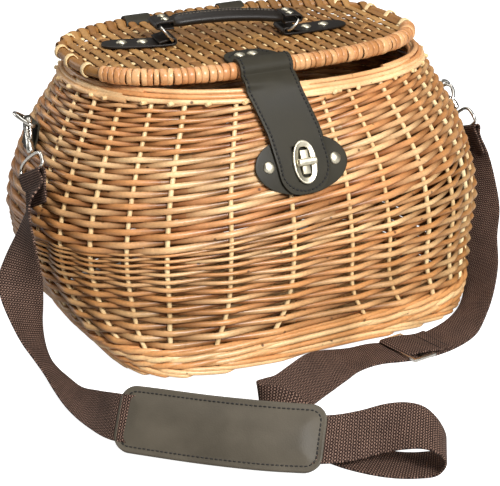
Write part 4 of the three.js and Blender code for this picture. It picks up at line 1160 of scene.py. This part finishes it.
def makePad():
    ribbon = Ribbon([row + (pad["halfWidth"],) for row in strap["pad"]], pad["rows"])
    half, wide, corner = ribbon.length / 2, pad["halfWidth"], pad["corner"]
    net = bmesh.new()
    net.loops.layers.uv.new("weave")
    bmesh.ops.create_cube(net, size=2.0)
    for axis, cuts in enumerate(pad["cuts"]):
        edges = [e for e in net.edges if abs(e.verts[0].co[axis] - e.verts[1].co[axis]) > 1.9]
        bmesh.ops.subdivide_edges(net, edges=edges, cuts=cuts, use_grid_fill=True)
    for vert in net.verts:
        u, v, w = vert.co
        x, y = abs(u) * half, abs(v) * wide
        p = max(x - half + corner, 0) / corner
        q = max(y - wide + corner, 0) / corner
        pShare, qShare = math.sqrt(1 - q * q / 2), math.sqrt(1 - p * p / 2)
        x -= corner * p * (1 - pShare)
        y -= corner * q * (1 - qShare)
        fromEdge = corner * (1 - math.hypot(p * pShare, q * qShare))
        if p == 0 or q == 0:
            fromEdge = min(half - x, wide - y)
        run = half + math.copysign(x, u)
        vert.co = Vector(ribbon.at(run, math.copysign(y, v) / wide, w * padRise(fromEdge))) * mm
    bmesh.ops.recalc_face_normals(net, faces=net.faces[:])
    piece = keepPiece("shoulderPad", keepMesh(net, "shoulderPad"), padLeather, "basket",
                      ("shoulder_pad",))
    padStitches(ribbon)
    print("pad filled")


makePad()

# copies of a solid with its vertices merged, its edges rounded and its facets smoothed
copying = {"weld": 0.00002, "joinAngle": 0.7, "joinShape": 1.4, "sharp": 0.7}


def softCopy(node, material, bevel, smooth):
    net = bmesh.new()
    net.from_mesh(cadNodes[node].data)
    bmesh.ops.remove_doubles(net, verts=net.verts[:], dist=copying["weld"])
    bmesh.ops.join_triangles(net, faces=net.faces[:], angle_face_threshold=copying["joinAngle"],
                             angle_shape_threshold=copying["joinShape"])
    if bevel:
        edges = [e for e in net.edges if len(e.link_faces) == 2 and e.calc_face_angle() > copying["sharp"]]
        bmesh.ops.bevel(net, geom=edges, offset=bevel * mm, segments=2, profile=0.5, affect="EDGES",
                        material=-1)
    words = node.split("_")
    name = words[0] + "".join(word.title() for word in words[1:])
    piece = keepPiece(name, keepMesh(net, name), material, cadNodes[node]["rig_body"], (node,))
    if smooth:
        rounding = piece.modifiers.new("rounding", "SUBSURF")
        rounding.levels = smooth
        rounding.render_levels = smooth


copies = (
    (("hinge_strap_left", "hinge_strap_right", "side_tab_left", "side_tab_right"),
     strapLeather, "leather", 0.5, 1),
    (("handle_tab_left", "handle_tab_right", "handle_end_left", "handle_end_right"),
     handleLeather, "leather", 0.5, 1),
    (("handle_ring_left", "handle_ring_right", "d_ring_left", "d_ring_right", "swivel_loop_left",
      "swivel_loop_right", "snap_hook_left", "snap_hook_right", "hook_gate_left", "hook_gate_right"),
     brightNickel, "nickel", 0.0, 2),
    (("strap_slider",), brightNickel, "nickel", 0.5, 0),
    (("slider_bar",), darkNickel, "nickel", 0.5, 0),
    (("lock_base",), plateNickel, "nickel", 0.5, 0),
)
for nodes, material, slot, bevel, smooth in copies:
    for node in nodes:
        softCopy(node, material, bevel, smooth)

# domed rivet heads, each on the place and along the axis of its solid
rivet = {"spread": 1.15, "steep": 0.7, "sides": 24, "rings": 12}


def makeRivets(name, nodes, body):
    net = bmesh.new()
    for node in nodes:
        spots = np.array([vert.co for vert in cadNodes[node].data.vertices])
        middle = spots.mean(axis=0)
        axis = np.linalg.eigh(np.cov((spots - middle).T))[1][:, 0]
        axis *= np.sign(axis[2] if abs(axis[2]) > rivet["steep"] else -axis[1])
        along = (spots - middle) @ axis
        radius = rivet["spread"] * np.linalg.norm(spots - middle - along[:, None] * axis, axis=1).max()
        place = Matrix.Translation(Vector(middle + axis * along.min()))
        turn = Vector(axis).to_track_quat("Z", "Y").to_matrix().to_4x4()
        size = Matrix.Diagonal((radius, radius, along.max() - along.min(), 1))
        bmesh.ops.create_uvsphere(net, u_segments=rivet["sides"], v_segments=rivet["rings"], radius=1.0,
                                  matrix=place @ turn @ size)
    keepPiece(name, keepMesh(net, name), plateNickel, body, tuple(nodes))


lidRivets = [node for node in cadNodes if "_rivet_" in node and not node.startswith("patch")]
makeRivets("lidRivets", lidRivets, "lid")
makeRivets("patchRivets", ["patch_rivet_left", "patch_rivet_right"], "basket")

# turn lock: a domed oval eyelet and a grooved toggle
eyelet = {
    "half": (11, 18.5), "points": 44, "innerSquareness": 1.2, "innerInset": 5.6,
    "section": ((0, 5.9), (0, 7.2), (0.6, 7.9), (1.4, 8.1), (2.2, 7.7), (5.0, 7.5), (5.6, 7.2), (5.7, 5.9)),
}
toggle = {"half": (8.5, 3.2, 2.75), "middle": 11.45, "grooves": 14, "depth": 0.12, "end": 0.72, "power": 0.6,
          "points": 20}


def makeLock():
    at, normal = frontPoint(lock["x"], lock["height"], 0)
    across = unitRows(np.array([-normal[1], normal[0], 0]))
    up = np.cross(normal, across)
    rings = []
    turns = np.linspace(0, 2 * math.pi, eyelet["points"], endpoint=False)
    for inset, out in eyelet["section"]:
        power = 2 / (2 + eyelet["innerSquareness"] * inset / eyelet["innerInset"])
        wide = (eyelet["half"][0] - inset) * signedPower(np.cos(turns), power)
        tall = (eyelet["half"][1] - inset) * signedPower(np.sin(turns), power)
        rings.append(at + np.outer(wide, across) + np.outer(tall, up) + normal * out)
    mesh = loftRings("lockEyelet", rings, True)
    keepPiece("lockEyelet", mesh, plateNickel, "lid", ("lock_eyelet",))
    rings = []
    steps = 2 * toggle["grooves"]
    turns = np.linspace(0, 2 * math.pi, toggle["points"], endpoint=False)
    for step in range(steps + 1):
        along = across * toggle["half"][0] * (2 * step / steps - 1)
        size = (1 - toggle["depth"] * (step % 2)) if 0 < step < steps else toggle["end"]
        tall = toggle["half"][1] * size * signedPower(np.cos(turns), toggle["power"])
        deep = toggle["half"][2] * size * signedPower(np.sin(turns), toggle["power"])
        rings.append(at + along + np.outer(tall, up) + np.outer(deep + toggle["middle"], normal))
    mesh = loftRings("turnButton", rings)
    keepPiece("turnButton", mesh, plateNickel, "button", ("turn_button",))
    print("lock fitted")


makeLock()

# carrying handle: a folded leather grip with a roll in front and a stitched flap over its top
grip = {
    "centre": (-20, 1), "turn": -8, "half": (50.2, 10.5, 4.6), "level": (265, 261), "crown": 3,
    "stations": 44, "points": 36, "squareness": 2.3, "endTaper": 0.16, "endFrom": 0.9,
    "flap": 0.8, "flapEdge": -3.4, "flapSlope": 0.7, "flapLift": 1.5, "flapEnd": 0.96, "flapFade": 0.05,
    "stitchPitch": 3.3, "stitchLength": 2.2, "stitchRadius": 0.42, "stitchGap": 0.1, "stitchEnd": 0.88,
    "seams": (-1.6, 7.6),
}


def makeGrip():
    turn = math.radians(grip["turn"])
    along = np.array([math.cos(turn), math.sin(turn), 0])
    across = np.array([-math.sin(turn), math.cos(turn), 0])
    length, wide, tall = grip["half"]

    def middle(share):
        level = np.interp(share, (-1, 1), grip["level"]) + grip["crown"] * (1 - share * share)
        return np.array([*grip["centre"], 0]) + along * length * share + np.array([0, 0, level])

    def top(side):
        return tall * (1 - abs(side / wide) ** grip["squareness"]) ** (1 / grip["squareness"])

    turns = np.linspace(0, 2 * math.pi, grip["points"], endpoint=False)
    rings = []
    for share in np.linspace(-1, 1, grip["stations"] + 1):
        size = 1 - grip["endTaper"] * max(abs(share) - grip["endFrom"], 0) / (1 - grip["endFrom"])
        sides = wide * size * signedPower(np.cos(turns), 2 / grip["squareness"])
        lifts = tall * size * signedPower(np.sin(turns), 2 / grip["squareness"])
        step = np.clip((sides - grip["flapEdge"]) / grip["flapSlope"], 0, 1)
        step = step * np.clip(lifts / grip["flapLift"], 0, 1)
        step = step * np.clip((grip["flapEnd"] - abs(share)) / grip["flapFade"], 0, 1)
        lifts = lifts + grip["flap"] * step
        rings.append(middle(share) + np.outer(sides, across) + np.outer(lifts, flatUp))
    mesh = loftRings("handleGrip", rings)
    keepPiece("handleGrip", mesh, handleLeather, "lid", ("handle_grip",))
    stitches = []
    for seam in grip["seams"]:
        over = across * seam + np.array([0, 0, top(seam) + grip["flap"] + grip["stitchGap"]])
        line = [middle(share) + over for share in np.linspace(-grip["stitchEnd"], grip["stitchEnd"], 40)]
        stitches += stitchLine(line, grip["stitchPitch"], grip["stitchLength"], grip["stitchRadius"])
    layRods("gripStitches", stitches, "thread", paleThread, "lid")
    print("grip sewn")


makeGrip()

# woven bottom: sticks front to back, rods across them
base = {
    "level": 3.0, "stickRadius": 1.5, "sticks": 13, "rodRadius": 1.75, "spread": (0.92, 1.05), "pitch": 3.3,
    "wave": 1.0, "inset": 9, "sectionHeight": 5,
}


def makeBase():
    height = base["sectionHeight"]
    wide = sectionValue("halfWidth", height) - base["inset"]
    deep = sectionValue("halfDepth", height) - base["inset"]
    power = sectionValue("squareness", height)
    setBack = sectionValue("setBack", height)
    spacing = 2 * wide / (base["sticks"] + 1)
    rods = []
    for k in range(base["sticks"]):
        x = (k - (base["sticks"] - 1) / 2) * spacing
        reach = deep * (1 - abs(x / wide) ** power) ** (1 / power)
        y = np.linspace(-reach, reach, 20) + setBack
        line = np.stack([np.full_like(y, x), y, np.full_like(y, base["level"])], -1)
        rods.append(rod(line, base["stickRadius"], dice.uniform(0, 1)))
    count = int(2 * deep / base["pitch"])
    for k in range(count):
        y = (k - (count - 1) / 2) * base["pitch"]
        reach = wide * (1 - abs(y / deep) ** power) ** (1 / power)
        x = np.linspace(-reach, reach, 90)
        z = base["level"] + base["wave"] * np.cos(math.pi * (x / spacing + (base["sticks"] - 1) / 2 + k))
        line = np.stack([x, np.full_like(x, y + setBack), z], -1)
        rods.append(rod(line, base["rodRadius"] * dice.uniform(*base["spread"]), dice.uniform(0, 1)))
    layRods("baseRods", rods, "rod", lowWillow, "basket", ("base_panel",))
    print("bottom woven")


makeBase()

# webbing doubled back through the slider, with two rows of stitches
sliderTurn = {
    "route": ((51, -179, 3.6), (53.5, -179.4, 5.4), (58, -180, 6.1), (66, -181, 6.3), (74, -181.5, 6.1),
              (82, -180.5, 4.4), (90, -179.3, 3.5), (98, -177.2, 3.4)),
    "across": (-0.2, 0.98, 0), "halfWidth": 18.6, "thickness": 1.4, "softEdge": 0.3, "steps": 40,
    "columns": 6, "rows": (84, 93), "stitchPitch": 2.6, "stitchLength": 1.8, "stitchRadius": 0.4,
    "stitchGap": 0.1, "stitchEnd": 0.92,
}


def makeSliderTurn():
    stations = [(*spot, *sliderTurn["across"], sliderTurn["halfWidth"]) for spot in sliderTurn["route"]]
    ribbon = Ribbon(stations, sliderTurn["steps"])
    mesh = ribbonMesh("sliderTurn", ribbon, sliderTurn["columns"])
    mapWeave(mesh, ribbon.spots, sliderTurn["halfWidth"])
    piece = keepPiece("sliderTurn", mesh, strapWebbing, "basket")
    thicken(piece, sliderTurn["thickness"], sliderTurn["softEdge"])
    lift = sliderTurn["thickness"] / 2 + sliderTurn["stitchGap"]
    sides = np.linspace(-sliderTurn["stitchEnd"], sliderTurn["stitchEnd"], 30)
    stitches = []
    for x in sliderTurn["rows"]:
        run = np.interp(x, ribbon.table[:, 0], ribbon.spots)
        line = [ribbon.at(run, side, -lift) for side in sides]
        line += [ribbon.at(run, -side, lift) for side in sides]
        stitches += stitchLine(line, sliderTurn["stitchPitch"], sliderTurn["stitchLength"],
                               sliderTurn["stitchRadius"])
    layRods("sliderStitches", stitches, "thread", darkThread, "basket")


makeSliderTurn()

# pale floor and soft studio light
stage = {
    "floor": 6.0, "roughness": 0.9, "cloudScale": 2.0, "tones": ((0.3, 0.5), (0.7, 0.54)), "world": 0.1,
    "glow": 1.0, "shade": (0.172, 0.136), "shadeShift": (-0.009, 0.009, 0), "shadeEdge": (0.85, 1.05),
    "white": (1, 1, 1, 1),
    "lights": (("keyLight", (0.05, -2.15, 1.55), (0, 0, 0.12), 0.6, 84),
               ("topLight", (-0.2, -0.4, 2.4), (0, 0, 0.1), 2.0, 26),
               ("backLight", (0.3, 1.7, 2.7), (0, 0.1, 0.1), 1.2, 16),
               ("sideLight", (-1.5, 1.9, 0.9), (0, 0, 0.12), 1.2, 12)),
}


def floorMaterial():
    material, tree, shader = newMaterial("paleFloor", Roughness=stage["roughness"],
                                         **{"Emission Color": stage["white"]})
    cloud = addNode(tree, "ShaderNodeTexNoise", {"Scale": stage["cloudScale"]}).outputs["Fac"]
    colour = addRamp(tree, cloud, [(spot, (grey, grey, grey, 1)) for spot, grey in stage["tones"]])
    tree.links.new(colour, shader.inputs["Base Color"])
    seen = addNode(tree, "ShaderNodeLightPath").outputs["Is Camera Ray"]
    place = vectorMath(tree, "ADD", objectPlace(tree), stage["shadeShift"]).outputs[0]
    scaled = (1 / stage["shade"][0], 1 / stage["shade"][1], 0)
    spread = vectorMath(tree, "MULTIPLY", place, scaled).outputs[0]
    squared = vectorMath(tree, "MULTIPLY", spread, spread).outputs[0]
    away = vectorMath(tree, "DOT_PRODUCT", squared, squared).outputs["Value"]
    clear = mapRange(tree, away, *stage["shadeEdge"])  # a squarish oval under the basket
    glow = mathNode(tree, "MULTIPLY", mathNode(tree, "MULTIPLY", seen, clear), stage["glow"])
    tree.links.new(glow, shader.inputs["Emission Strength"])
    return material


def setStage():
    net = bmesh.new()
    bmesh.ops.create_grid(net, x_segments=1, y_segments=1, size=stage["floor"])
    floor = bpy.data.objects.new("floor", keepMesh(net, "floor"))
    scene.collection.objects.link(floor)
    floor.data.materials.append(floorMaterial())
    world = bpy.data.worlds.new("studio")
    world.use_nodes = True
    world.node_tree.nodes["Background"].inputs["Color"].default_value = stage["white"]
    world.node_tree.nodes["Background"].inputs["Strength"].default_value = stage["world"]
    scene.world = world
    scene.view_settings.view_transform = "Standard"
    for name, place, target, size, power in stage["lights"]:
        lamp = bpy.data.lights.new(name, "AREA")
        lamp.size = size
        lamp.energy = power
        light = bpy.data.objects.new(name, lamp)
        light.location = place
        light.rotation_euler = (Vector(target) - Vector(place)).to_track_quat("-Z", "Y").to_euler()
        scene.collection.objects.link(light)


setStage()
print("scene ready")
